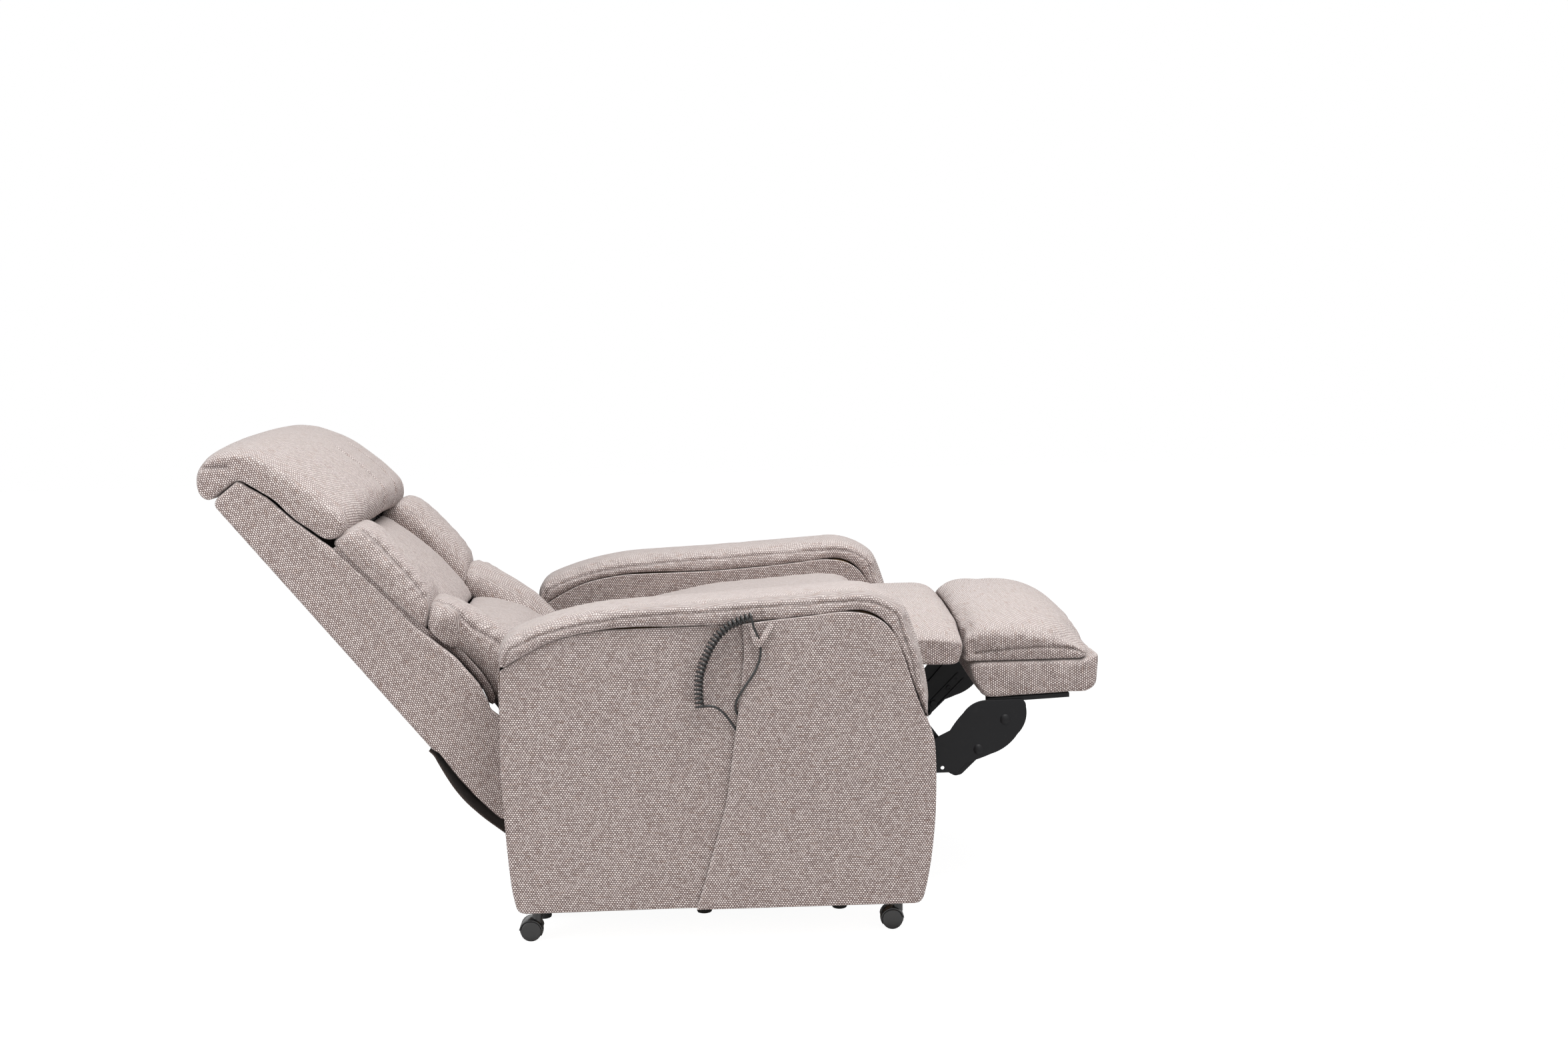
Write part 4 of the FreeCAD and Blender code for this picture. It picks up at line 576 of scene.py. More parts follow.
def cleaned(mesh: bpy.types.Mesh, gap: float) -> bpy.types.Mesh:
    """Merges points of a mesh nearer than a gap in metres and turns its normals outward.

    Args:
        mesh: Mesh, changed in place.
        gap: Least distance between points, metres.

    Returns:
        The same mesh.
    """
    shape = bmesh.new()
    shape.from_mesh(mesh)
    bmesh.ops.remove_doubles(shape, verts=shape.verts, dist=gap)
    bmesh.ops.recalc_face_normals(shape, faces=shape.faces)
    shape.to_mesh(mesh)
    shape.free()
    return mesh


def merged_copy(node: str, name: str) -> bpy.types.Object:
    """Copy of a CAD node's mesh, without materials, with its doubles merged.

    Args:
        node: CAD node.
        name: Name of the copy.

    Returns:
        The new object.
    """
    mesh = cleaned(FRAME["nodes"][node].data.copy(), 2e-6)
    mesh.materials.clear()
    return linked(name, mesh)


def mesh_of(name: str, points: Iterable[Sequence[float]],
            faces: Iterable[Sequence[int]]) -> bpy.types.Object:
    """Mesh object from points and faces, its doubles merged and its normals outward.

    Args:
        name: Name of the object.
        points: Points in metres.
        faces: Numbers of the points of each face.

    Returns:
        The new object.
    """
    mesh = bpy.data.meshes.new(name)
    mesh.from_pydata([tuple(map(float, p)) for p in points], [], [tuple(f) for f in faces])
    return linked(name, cleaned(mesh, 1e-6))


def search_tree(mesh: bpy.types.Mesh) -> BVHTree:
    """Search tree over the faces of a mesh."""
    return BVHTree.FromPolygons([v.co for v in mesh.vertices], [p.vertices for p in mesh.polygons])


def tube_faces(rings: int, turns: int, open_end: bool = False) -> list[tuple[int, ...]]:
    """Faces around rings of points, and over the first and, unless it stays open, the last ring.

    Args:
        rings: Rings of points, one after the other.
        turns: Points in a ring.
        open_end: Whether the last ring is left open.

    Returns:
        The faces.
    """
    faces = [(r * turns + k, r * turns + (k + 1) % turns, (r + 1) * turns + (k + 1) % turns,
              (r + 1) * turns + k) for r in range(rings - 1) for k in range(turns)]
    faces.append(tuple(range(turns)))
    if not open_end:
        faces.append(tuple((rings - 1) * turns + k for k in reversed(range(turns))))
    return faces


def read(rows: bpy.types.bpy_prop_collection, name: str, width: int,
         kind: type = float) -> np.ndarray:
    """Values of one property of a mesh's elements, one row for each where there are several.

    Args:
        rows: Vertices, edges, loops or polygons.
        name: Name of the property.
        width: Values that an element has.
        kind: float or int.

    Returns:
        The values.
    """
    flat = np.empty(len(rows) * width, np.float32 if kind is float else np.int32)
    rows.foreach_get(name, flat)
    return (flat.reshape(-1, width) if width > 1 else flat).astype(kind)


class Skin:
    """Vertices of a mesh object as arrays, to be pushed, smoothed and written back."""

    def __init__(self, item: bpy.types.Object) -> None:
        """Reads the vertices and edges of an object at the origin.

        Args:
            item: Mesh object.
        """
        self.item = item
        self.points = read(item.data.vertices, "co", 3)
        self.edges = read(item.data.edges, "vertices", 2, int)
        # Painted shade of each vertex, 0 to 1, for the cloth's colour
        self.painted_shade = np.zeros(len(self.points))

    def normals(self) -> np.ndarray:
        """Vertex normals of the mesh as last written."""
        return read(self.item.data.vertices, "normal", 3)

    def smooth(self, rounds: int, share: float = 0.5) -> "Skin":
        """Moves each vertex towards the middle of its neighbours.

        Args:
            rounds: Times that it is done.
            share: Share of the way to the middle.

        Returns:
            The skin itself.
        """
        count = np.bincount(self.edges.ravel(), minlength=len(self.points))[:, None]
        for _ in range(rounds):
            total = np.zeros_like(self.points)
            np.add.at(total, self.edges[:, 0], self.points[self.edges[:, 1]])
            np.add.at(total, self.edges[:, 1], self.points[self.edges[:, 0]])
            self.points += (total / np.maximum(count, 1) - self.points) * share
        return self

    def write(self) -> "Skin":
        """Puts the points back into the mesh.

        Returns:
            The skin itself.
        """
        mesh = self.item.data
        mesh.vertices.foreach_set("co", self.points.astype(np.float32).ravel())
        mesh.update()
        return self

    def keep_painted_shade(self) -> None:
        """Stores the painted shade of each vertex, darkest deep in a seam, for the cloth's colour.
        """
        mesh = self.item.data
        found = mesh.attributes.get("painted_shade") or mesh.attributes.new("painted_shade", "FLOAT", "POINT")
        found.data.foreach_set("value", self.painted_shade.astype(np.float32))


@dataclass(frozen=True)
class Seam:
    """Line sewn into a piece: a narrow groove with puckers beside it and painted shade in the
    groove.

    Attributes:
        line: Points in metres, close enough to follow the surface.
        width: Half width of the groove, metres.
        depth: Depth of the groove, metres.
        gather: Height of the puckers beside the line, metres.
        step: Distance from pucker to pucker, metres.
        shade: How dark the painted shade in the groove is, 0 to 1.
    """

    line: tuple[Triple, ...]
    width: float = 0.004
    depth: float = 0.003
    gather: float = 0.0006
    step: float = 0.021
    shade: float = 0.7

    @classmethod
    def through(cls, points: Sequence[Sequence[float]], kind: str, steps: int = 6) -> "Seam":
        """Seam of one kind along the smooth line through points in metres."""
        return cls(tuple(map(tuple, smooth_line(points, steps))), *SEWN[kind])

    def laid_on(self, item: bpy.types.Object) -> "Seam":
        """The same seam with its line moved onto the surface of a mesh.

        Args:
            item: Mesh object that the seam is sewn into.

        Returns:
            The new seam.
        """
        tree = search_tree(item.data)
        spots = [tree.find_nearest(Vector(point))[0] for point in self.line]
        return replace(self, line=tuple(tuple(spot) for spot in spots if spot is not None))

    def press(self, skin: Skin, normals: np.ndarray) -> None:
        """Sinks the groove into a skin, adds its puckers and paints shade into the groove.

        Args:
            skin: Skin that is pushed in.
            normals: Its vertex normals.
        """
        line = np.array(self.line)
        low, high = line.min(0) - 0.045, line.max(0) + 0.045
        near = np.flatnonzero(((skin.points > low) & (skin.points < high)).all(1))
        if not len(near):
            return
        distance, along = nearest(skin.points[near], line)
        groove = np.exp(-(distance / self.width) ** 2)
        spread = np.exp(-(distance / (4.5 * self.width)) ** 2)
        waves = np.sin(along / self.step * 2 * math.pi + 1.7 * np.sin(along / self.step * 0.9))
        push = -self.depth * groove + self.gather * waves * spread * (1 - 0.5 * groove)
        skin.points[near] += normals[near] * push[:, None]
        # Painted shade, darkest along the middle of the groove
        shade = np.exp(-(distance / (0.62 * self.width)) ** 2) * self.shade
        skin.painted_shade[near] = np.maximum(skin.painted_shade[near], shade)


# Width, depth, gather, step and painted shade of each kind of seam
SEWN = {"join": (0.003, 0.002, 0.0, 0.02, 0.5), "band_edge": (0.0032, 0.0022, 0.0004, 0.017, 0.6),
        "band_join": (0.0028, 0.0016, 0.0, 0.02, 0.45), "dart": (0.005, 0.004, 0.0, 0.016, 0.6),
        "channel": (0.0045, 0.0035, 0.0005, 0.016, 0.5),
        "bolster": (0.004, 0.0026, 0.0012, 0.024, 0.5),
        "footrest": (0.0035, 0.003, 0.0008, 0.022, 0.6)}


def slice_outline(item: bpy.types.Object, x: float) -> np.ndarray | None:
    """Longest outline of a mesh cut at one X, as (y, z) points in order.

    Args:
        item: Mesh object.
        x: Place of the cut, metres.

    Returns:
        The closed outline, or None where the cut meets nothing.
    """
    shape = bmesh.new()
    shape.from_mesh(item.data)
    cut = bmesh.ops.bisect_plane(shape, geom=shape.verts[:] + shape.edges[:] + shape.faces[:],
                                 plane_co=(x, 0, 0), plane_no=(1, 0, 0))["geom_cut"]
    ring: dict = {}
    for edge in (e for e in cut if isinstance(e, bmesh.types.BMEdge)):
        a, b = edge.verts
        ring.setdefault(a, []).append(b)
        ring.setdefault(b, []).append(a)
    best: list = []
    left = dict.fromkeys(ring)
    while left:
        chain = [left.popitem()[0]]
        while True:
            step = [v for v in ring[chain[-1]] if v in left]
            if not step:
                break
            del left[step[0]]
            chain.append(step[0])
        if len(chain) > len(best):
            best = chain
    outline = np.array([(v.co.y, v.co.z) for v in best]) if len(best) > 3 else None
    shape.free()
    if outline is None:
        return None
    every = outline[::max(1, len(outline) // OUTLINE_POINTS)]
    return np.vstack([every, every[:1]])


def girths(item: bpy.types.Object, points: np.ndarray, up: np.ndarray) -> tuple[np.ndarray, float]:
    """Length of the way around a piece to each of its points, from outlines cut at several X.

    Args:
        item: Mesh object.
        points: Its vertices, metres.
        up: (y, z) direction away from what the piece lies on.

    Returns:
        The lengths, and the mean length all around.
    """
    low, high = points[:, 0].min(), points[:, 0].max()
    places, outlines = [], []
    start = None
    margin = SLICE_MARGIN * (high - low)
    for x in np.linspace(low + margin, high - margin, SLICES):
        outline = slice_outline(item, float(x) + SLICE_SHIFT)
        if outline is None:
            continue
        open_line = outline[:-1]
        ahead = np.roll(open_line, -1, axis=0)
        if (open_line[:, 0] * ahead[:, 1] - ahead[:, 0] * open_line[:, 1]).sum() < 0:
            open_line = open_line[::-1]
        reach = open_line @ up if start is None else np.linalg.norm(open_line - start, axis=1)
        open_line = np.roll(open_line, -int(reach.argmin()), axis=0)
        start = open_line[0]
        places.append(float(x))
        outlines.append(np.vstack([open_line, open_line[:1]]))
    if len(places) < 2:
        return np.zeros(len(points)), 1.0
    around = np.zeros(len(points))
    bins = np.clip(np.searchsorted(places, points[:, 0]) - 1, 0, len(places) - 2)
    for k in range(len(places) - 1):
        chosen = np.flatnonzero(bins == k)
        if len(chosen):
            share = np.clip((points[chosen, 0] - places[k]) / (places[k + 1] - places[k]), 0, 1)
            first = nearest(points[chosen, 1:], outlines[k])[1]
            second = nearest(points[chosen, 1:], outlines[k + 1])[1]
            around[chosen] = first + (second - first) * share
    return around, float(np.mean([lengths(line)[-1] for line in outlines]))


def lay_weave(item: bpy.types.Object, slope: float = 0.0, turned: bool = False,
              flat: bool = False) -> None:
    """Writes the "weave" map: metres along and across the cloth, around the piece and on its sides.

    Args:
        item: Mesh object.
        slope: Angle of the rows on the sides above the horizontal, degrees.
        turned: Whether the cloth lies with its rows the other way round.
        flat: Whether the piece is a panel in the side plane only.
    """
    mesh = item.data
    skin = Skin(item)
    limit = SIDEWAYS_FLAT if flat else SIDEWAYS
    sideways = np.abs(read(mesh.polygons, "normal", 3)[:, 0]) > limit
    corner = read(mesh.loops, "vertex_index", 1, int)
    total = read(mesh.polygons, "loop_total", 1, int)
    owner = np.repeat(np.arange(len(total)), total)
    angle = math.radians(slope)
    y, z = skin.points[:, 1], skin.points[:, 2]
    side = np.stack([y * math.cos(angle) + z * math.sin(angle),
                     -y * math.sin(angle) + z * math.cos(angle)], 1)
    if flat:
        around, length = np.zeros(len(skin.points)), 1.0
    else:
        around, length = girths(item, skin.points, np.array((-math.sin(angle), math.cos(angle))))
    values = around[corner]
    first = values[np.concatenate([[0], np.cumsum(total)[:-1]])][owner]
    values = values - np.round((values - first) / length) * length
    wrap = np.stack([values, skin.points[corner, 0]], 1)
    chosen = np.where(sideways[owner][:, None], side[corner], wrap)
    if turned:
        chosen = chosen[:, ::-1]
    layer = mesh.uv_layers.get("weave") or mesh.uv_layers.new(name="weave")
    layer.data.foreach_set("uv", chosen.astype(np.float32).ravel())


# Stitches


class Stitching:
    """Rows of stitches laid along lines by one Geometry Nodes tree."""

    def __init__(self, pitch: float = 0.0062, length: float = 0.0042,
                 thickness: float = 0.0005) -> None:
        """Keeps the stitch sizes and the lines gathered for each body.

        Args:
            pitch: Distance from stitch to stitch, metres.
            length: Length of a stitch, metres.
            thickness: Radius of the thread, metres.
        """
        self.pitch = pitch
        self.length = length
        self.thickness = thickness
        self.rows: dict[str, list[list[Vector]]] = {}
        self.tree = self.build_tree()

    def build_tree(self) -> bpy.types.GeometryNodeTree:
        """Builds the tree: points along the lines, one short thread on each.

        Returns:
            The tree, with Pitch, Length and Thickness as its inputs.
        """
        tree = bpy.data.node_groups.new("stitch_rows", "GeometryNodeTree")
        face = tree.interface
        face.new_socket("Geometry", in_out="INPUT", socket_type="NodeSocketGeometry")
        for label in ("Pitch", "Length", "Thickness"):
            face.new_socket(label, in_out="INPUT", socket_type="NodeSocketFloat")
        face.new_socket("Geometry", in_out="OUTPUT", socket_type="NodeSocketGeometry")
        nodes = {name: tree.nodes.new(kind) for name, kind in (
            ("enter", "NodeGroupInput"), ("points", "GeometryNodeCurveToPoints"),
            ("thread", "GeometryNodeMeshCylinder"), ("laid", "GeometryNodeInstanceOnPoints"),
            ("real", "GeometryNodeRealizeInstances"), ("colour", "GeometryNodeSetMaterial"),
            ("leave", "NodeGroupOutput"))}
        nodes["points"].mode = "LENGTH"
        nodes["thread"].inputs["Vertices"].default_value = 6
        nodes["colour"].inputs["Material"].default_value = Finish.THREAD.material()
        for start, output, end, socket in (
                ("enter", "Geometry", "points", "Curve"), ("enter", "Pitch", "points", "Length"),
                ("enter", "Length", "thread", "Depth"), ("enter", "Thickness", "thread", "Radius"),
                ("points", "Points", "laid", "Points"), ("points", "Rotation", "laid", "Rotation"),
                ("thread", "Mesh", "laid", "Instance"), ("laid", 0, "real", 0),
                ("real", 0, "colour", 0), ("colour", 0, "leave", 0)):
            tree.links.new(nodes[start].outputs[output], nodes[end].inputs[socket])
        return tree

    def gather(self, piece: bpy.types.Object, body: str, line: Sequence[Triple],
               raised: float = 0.0003) -> None:
        """Drops a line on a piece's surface and keeps it for the body's stitches.

        Args:
            piece: Finished mesh that carries the stitches.
            body: Body that the piece rides on.
            line: Points in metres near the surface.
            raised: Height of the stitches over the surface, metres.
        """
        tree = search_tree(piece.data)
        laid = []
        for point in line:
            spot, normal, _, distance = tree.find_nearest(Vector(point))
            if spot is not None and distance < STITCH_REACH:
                laid.append(spot + normal * raised)
        if len(laid) > 1:
            self.rows.setdefault(body, []).append(laid)

    def sew(self) -> None:
        """Makes one plain mesh of stitches for each body."""
        values = {"Pitch": self.pitch, "Length": self.length, "Thickness": self.thickness}
        for body, rows in self.rows.items():
            curve = bpy.data.curves.new("stitches_" + body, "CURVE")
            curve.dimensions = "3D"
            for row in rows:
                spline = curve.splines.new("POLY")
                spline.points.add(len(row) - 1)
                for point, place in zip(spline.points, row):
                    point.co = (*place, 1.0)
            item = linked("stitches_" + body, curve)
            modifier = item.modifiers.new("rows", "NODES")
            modifier.node_group = self.tree
            for socket in self.tree.interface.items_tree:
                if socket.in_out == "INPUT" and socket.name in values:
                    modifier[socket.identifier] = values[socket.name]
            item = dressed(settled(item), Finish.THREAD)
            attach(item, body)


# Padded pieces


@dataclass
class Padding:
    """One stuffed piece, swollen by cloth simulation from its CAD solid.

    Attributes:
        node: CAD node that it replaces; its own name is the node's with _cover.
        body: Body that it rides on.
        rests: CAD nodes it is fixed to; it doesn't swell near them.
        voxel: Size of the remesh, metres.
        swell: Most that the cloth may move, metres.
        slope: Angle of the weave rows on its sides, degrees.
        turned: Whether its weave is turned.
        walls: (point, normal) planes that it doesn't cross.
        seams: Lines sewn into it.
        rounds: Times the remesh is smoothed and laid back on the solid.
        refine: Subdivision levels after the simulation.
        fill: How full it is, 0 to 1; not used.
        hollow: Radius in metres about the fold axis that it stays outside of, or 0.
        barrel: Radius in metres about the fold axis that its front stays inside of, or 0.
        fence: (down, half width) pairs in mm that limit how far out it reaches along the back.
        ends: How far its upper and lower ends are drawn out along the back, mm.
        nudges: (y, z, radius, y move, z move) in mm of places that are pushed, all across.
    """

    node: str
    body: str
    rests: tuple[str, ...] = ()
    voxel: float = 0.006
    swell: float = 0.014
    slope: float = 0.0
    turned: bool = False
    walls: tuple[tuple[Triple, Triple], ...] = ()
    seams: tuple[Seam, ...] = ()
    rounds: int = 3
    refine: int = 1
    fill: float = 0.75
    hollow: float = 0.0
    barrel: float = 0.0
    fence: tuple[Pair, ...] = ()
    ends: Pair = (0.0, 0.0)
    nudges: tuple[tuple[float, float, float, float, float], ...] = ()

    def remeshed(self) -> bpy.types.Object:
        """Copy of the CAD solid in even quads, a little smaller than the solid.

        Returns:
            The new piece, not yet swollen.
        """
        item = merged_copy(self.node, self.node + "_cover")
        modifier = item.modifiers.new("voxels", "REMESH")
        modifier.mode = "VOXEL"
        modifier.voxel_size = self.voxel
        settled(item)
        solid = search_tree(FRAME["nodes"][self.node].data)
        skin = Skin(item)
        for _ in range(self.rounds):
            skin.smooth(2)
            for index, point in enumerate(skin.points):
                spot = solid.find_nearest(Vector(point))[0]
                skin.points[index] += (np.array(spot) - point) * LAY_BACK
        skin.smooth(2).write()
        if any(self.ends):
            down = (skin.points / MM - BACK_TOP) @ BACK_DOWN
            share = (down - down.min()) / (down.max() - down.min())
            up = self.ends[0] * np.clip(1 - share * 3, 0, 1) ** 1.5
            on = self.ends[1] * np.clip(share * 3 - 2, 0, 1) ** 1.5
            skin.points += BACK_DOWN * ((on - up) * MM)[:, None]
            skin.write()
        return item

    def held_group(self, item: bpy.types.Object) -> None:
        """Pins the vertices next to what the piece rests on.

        Args:
            item: The remeshed piece.
        """
        group = item.vertex_groups.new(name="held")
        trees = [search_tree(FRAME["nodes"][node].data) for node in self.rests]
        held = [v.index for v in item.data.vertices
                if any(tree.find_nearest(v.co, self.voxel * HELD_REACH)[0] is not None
                       for tree in trees)]
        if held:
            group.add(held, 1.0, "REPLACE")

    def swollen(self, item: bpy.types.Object) -> None:
        """Runs the cloth under pressure and caps how far it moves.

        Args:
            item: The remeshed piece, changed in place.
        """
        start = Skin(item).points.copy()
        self.held_group(item)
        modifier = item.modifiers.new("stuffing", "CLOTH")
        cloth = modifier.settings
        for name, value in CLOTH_SETTINGS.items():
            setattr(cloth, name, value)
        cloth.effector_weights.gravity = 0
        modifier.collision_settings.use_collision = False
        modifier.point_cache.frame_start = 1
        modifier.point_cache.frame_end = CLOTH_FRAMES
        scene = bpy.context.scene
        for frame in range(1, CLOTH_FRAMES + 1):
            scene.frame_set(frame)
        settled(item)
        scene.frame_set(1)
        item.vertex_groups.clear()
        skin = Skin(item)
        move = skin.points - start
        size = np.maximum(np.linalg.norm(move, axis=1), 1e-9)
        skin.points = start + move * (self.swell * np.tanh(size / self.swell) / size)[:, None]
        skin.smooth(1).write()

    def kept_inside(self, skin: Skin) -> None:
        """Presses the skin flat against its walls and round against the fold of the footrest.

        Args:
            skin: Skin of the piece, changed in place.
        """
        for point, normal in self.walls:
            n = np.array(normal)
            over = (skin.points - np.array(point)) @ n
            skin.points -= np.maximum(over, 0)[:, None] * n
        if self.fence:
            down = (skin.points / MM - BACK_TOP) @ BACK_DOWN
            downs, limits = np.array(self.fence).T
            limit = np.interp(down, downs, limits) * MM
            skin.points[:, 0] = np.clip(skin.points[:, 0], -limit, limit)
        if self.hollow or self.barrel:
            centre = np.array(FOLD_CENTRE) * MM
            offset = skin.points[:, 1:] - centre
            reach = np.maximum(np.linalg.norm(offset, axis=1), 1e-6)
            ahead = offset[:, 0] < AHEAD_OF_FOLD
            wrong = (reach > self.barrel) if self.barrel else (reach < self.hollow)
            fixed = centre + offset / reach[:, None] * (self.barrel or self.hollow)
            skin.points[ahead & wrong, 1:] = fixed[ahead & wrong]

    def build(self) -> bpy.types.Object:
        """Returns:
            The finished piece.
        """
        item = self.remeshed()
        if self.swell:
            self.swollen(item)
        if self.refine:
            modifier = item.modifiers.new("finer", "SUBSURF")
            modifier.levels = modifier.render_levels = self.refine
            settled(item)
        skin = Skin(item)
        normals = skin.normals()
        for seam in self.seams:
            seam.laid_on(item).press(skin, normals)
        for y, z, radius, y_move, z_move in self.nudges:
            gap = np.linalg.norm(skin.points[:, 1:] / MM - (y, z), axis=1)
            skin.points[:, 1:] += np.exp(-(gap / radius) ** 2)[:, None] * (y_move * MM, z_move * MM)
        self.kept_inside(skin)
        skin.write().keep_painted_shade()
        lay_weave(item, self.slope, self.turned)
        dressed(item, Finish.COVER)
        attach(item, self.body)
        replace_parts(item, self.node)
        LOG.info("padded %s: %d faces", item.name, len(item.data.polygons))
        return item


# Panels of the arms


def even(line: Sequence[Pair], shares: np.ndarray) -> np.ndarray:
    """Points at the given shares of a smooth line's length."""
    points = smooth_line(line)
    return at_lengths(points, shares * lengths(points)[-1])


def edge_shares(length: float, step: float = 6.0) -> np.ndarray:
    """Shares of a length in mm, close together near both ends so that an edge can roll over.

    Args:
        length: Length from edge to edge, mm.
        step: Distance between points inside, mm.

    Returns:
        Rising shares from 0 to 1.
    """
    ends = np.array([0.0, 0.7, 1.8, 3.4, 5.5])
    inside = np.linspace(5.5, length - 5.5, max(3, int((length - 11) / step) + 1))[1:-1]
    return np.concatenate([ends, inside, length - ends[::-1]]) / length


BAND_SEAM = ((-486, 387), (-469, 430), (-455, 474), (-442, 515), (-425, 553), (-395, 579),
             (-346, 589), (-276, 583), (-206, 577), (-120, 572), (-32, 570), (40, 569), (90, 567),
             (160, 554), (215, 530), (263, 501))
FREE_EDGE = ((-163, 572), (-165, 544), (-165, 514), (-160, 470), (-153, 420), (-141, 340),
             (-128, 259), (-115, 210), (-101, 163), (-85, 110), (-69, 61))
FRONT_EDGE = ((-455, 60), (-468, 65), (-476, 84), (-487, 140), (-495, 210), (-498, 270),
              (-498, 327), (-495, 358), (-486, 386))
REAR_EDGE = ((232, 60), (247, 66), (254, 90), (259, 130), (265, 230), (268, 330), (266, 420),
             (262, 500))


def closed_sheet(rows: int, columns: int) -> list[tuple[int, ...]]:
    """Faces of two grids of points, one behind the other, joined around their border.

    Args:
        rows: Rows of each grid.
        columns: Points in a row.

    Returns:
        The faces; the second grid's points follow the first's.
    """
    count = rows * columns
    faces = []
    for r in range(rows - 1):
        for c in range(columns - 1):
            a = r * columns + c
            quad = (a, a + 1, a + columns + 1, a + columns)
            faces += [quad, tuple(count + k for k in reversed(quad))]
    loop = (list(range(columns)) + [r * columns + columns - 1 for r in range(1, rows)]
            + [(rows - 1) * columns + c for c in range(columns - 2, -1, -1)]
            + [r * columns for r in range(rows - 2, 0, -1)])
    return faces + [(b, a, count + a, count + b) for a, b in zip(loop, loop[1:] + loop[:1])]


@dataclass
class Panel:
    """Cloth-covered panel of an arm: a thin closed shell with rolled edges and a slight crown.

    Attributes:
        node: CAD node that it replaces.
        side: -1 for the sitter's right arm, 1 for the left.
        rear: Edge nearer the back, from below, mm.
        front: Edge nearer the front, from below, mm.
        top: Edge along the band, front to rear, mm.
        face: X of the face that shows, mm from the middle plane.
        back: X of the hidden face, mm from the middle plane.
        crown: How far the middle stands out, mm.
        step_in: Distance behind the rear edge where the hidden face lies only one layer in, mm.
        seams: Lines sewn into it.
    """

    node: str
    side: int
    front: tuple[Pair, ...]
    rear: tuple[Pair, ...]
    top: tuple[Pair, ...]
    face: float
    back: float
    crown: float = 2.0
    step_in: float = 0.0
    seams: tuple[Seam, ...] = ()
    top_zone, top_roll, side_roll, crown_reach = 7, 1.2, 4.5, 30

    def grid(self) -> tuple[np.ndarray, int, int]:
        """Points of the panel in the side plane, mm, in rows from below, and their counts.

        Returns:
            The points, the number of rows and the number of columns.
        """
        low = (self.front[0], self.rear[0])
        width = max(abs(self.rear[0][0] - self.front[0][0]), abs(self.top[-1][0] - self.top[0][0]))
        across_shares = edge_shares(width)
        up_shares = edge_shares(max(self.top[-1][1], self.top[0][1]) - low[0][1])
        left, right = even(self.front, up_shares), even(self.rear, up_shares)
        bottom, top = even(low, across_shares), even(self.top, across_shares)
        s, t = up_shares[:, None, None], across_shares[None, :, None]
        patch = ((1 - s) * bottom[None] + s * top[None]
                 + (1 - t) * left[:, None] + t * right[:, None]
                 - (1 - s) * (1 - t) * bottom[0] - (1 - s) * t * bottom[-1]
                 - s * (1 - t) * top[0] - s * t * top[-1])
        return patch, len(up_shares), len(across_shares)

    def build(self) -> None:
        """Makes and dresses the panel."""
        patch, rows, columns = self.grid()
        flat = patch.reshape(-1, 2)
        border = np.vstack([patch[0], patch[:, -1], patch[-1, ::-1], patch[::-1, 0]])
        depth = nearest(flat, border)[0]
        outward = 1.0 if self.face > self.back else -1.0
        near_top = nearest(flat, patch[-1])[0] < self.top_zone
        thickness = abs(self.face - self.back)
        roll = np.where(near_top, self.top_roll, min(self.side_roll, thickness * 0.7))
        gone = np.clip(roll - depth, 0, roll)
        rolled = roll - np.sqrt(np.maximum(roll ** 2 - gone ** 2, 0))
        ripple = 0.5 * np.sin(flat[:, 0] / 47) * np.sin(flat[:, 1] / 61 + 1.0)
        crown = self.crown + ripple * min(1.0, self.crown)
        crown *= 1 - np.exp(-depth / self.crown_reach)
        shown = self.side * (self.face + outward * (crown - rolled))
        hidden = np.full(len(flat), self.back, float)
        if self.step_in:
            rear_line = smooth_line(self.rear)
            behind = np.interp(flat[:, 1], rear_line[:, 1], rear_line[:, 0]) - flat[:, 0]
            hidden += 12.0 * np.clip((self.step_in - behind) / 6, 0, 1) * outward
        under = self.side * (hidden + outward * rolled * 0.3)
        points = [(x * MM, y * MM, z * MM)
                  for layer in (shown, under) for x, (y, z) in zip(layer, flat)]
        item = mesh_of(self.node + "_cover", points, closed_sheet(rows, columns))
        if self.seams:
            skin = Skin(item)
            normals = skin.normals()
            for seam in self.seams:
                seam.press(skin, normals)
            skin.write().keep_painted_shade()
        lay_weave(item, flat=True)
        dressed(item, Finish.COVER)
        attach(item, "chassis")
        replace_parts(item, self.node)


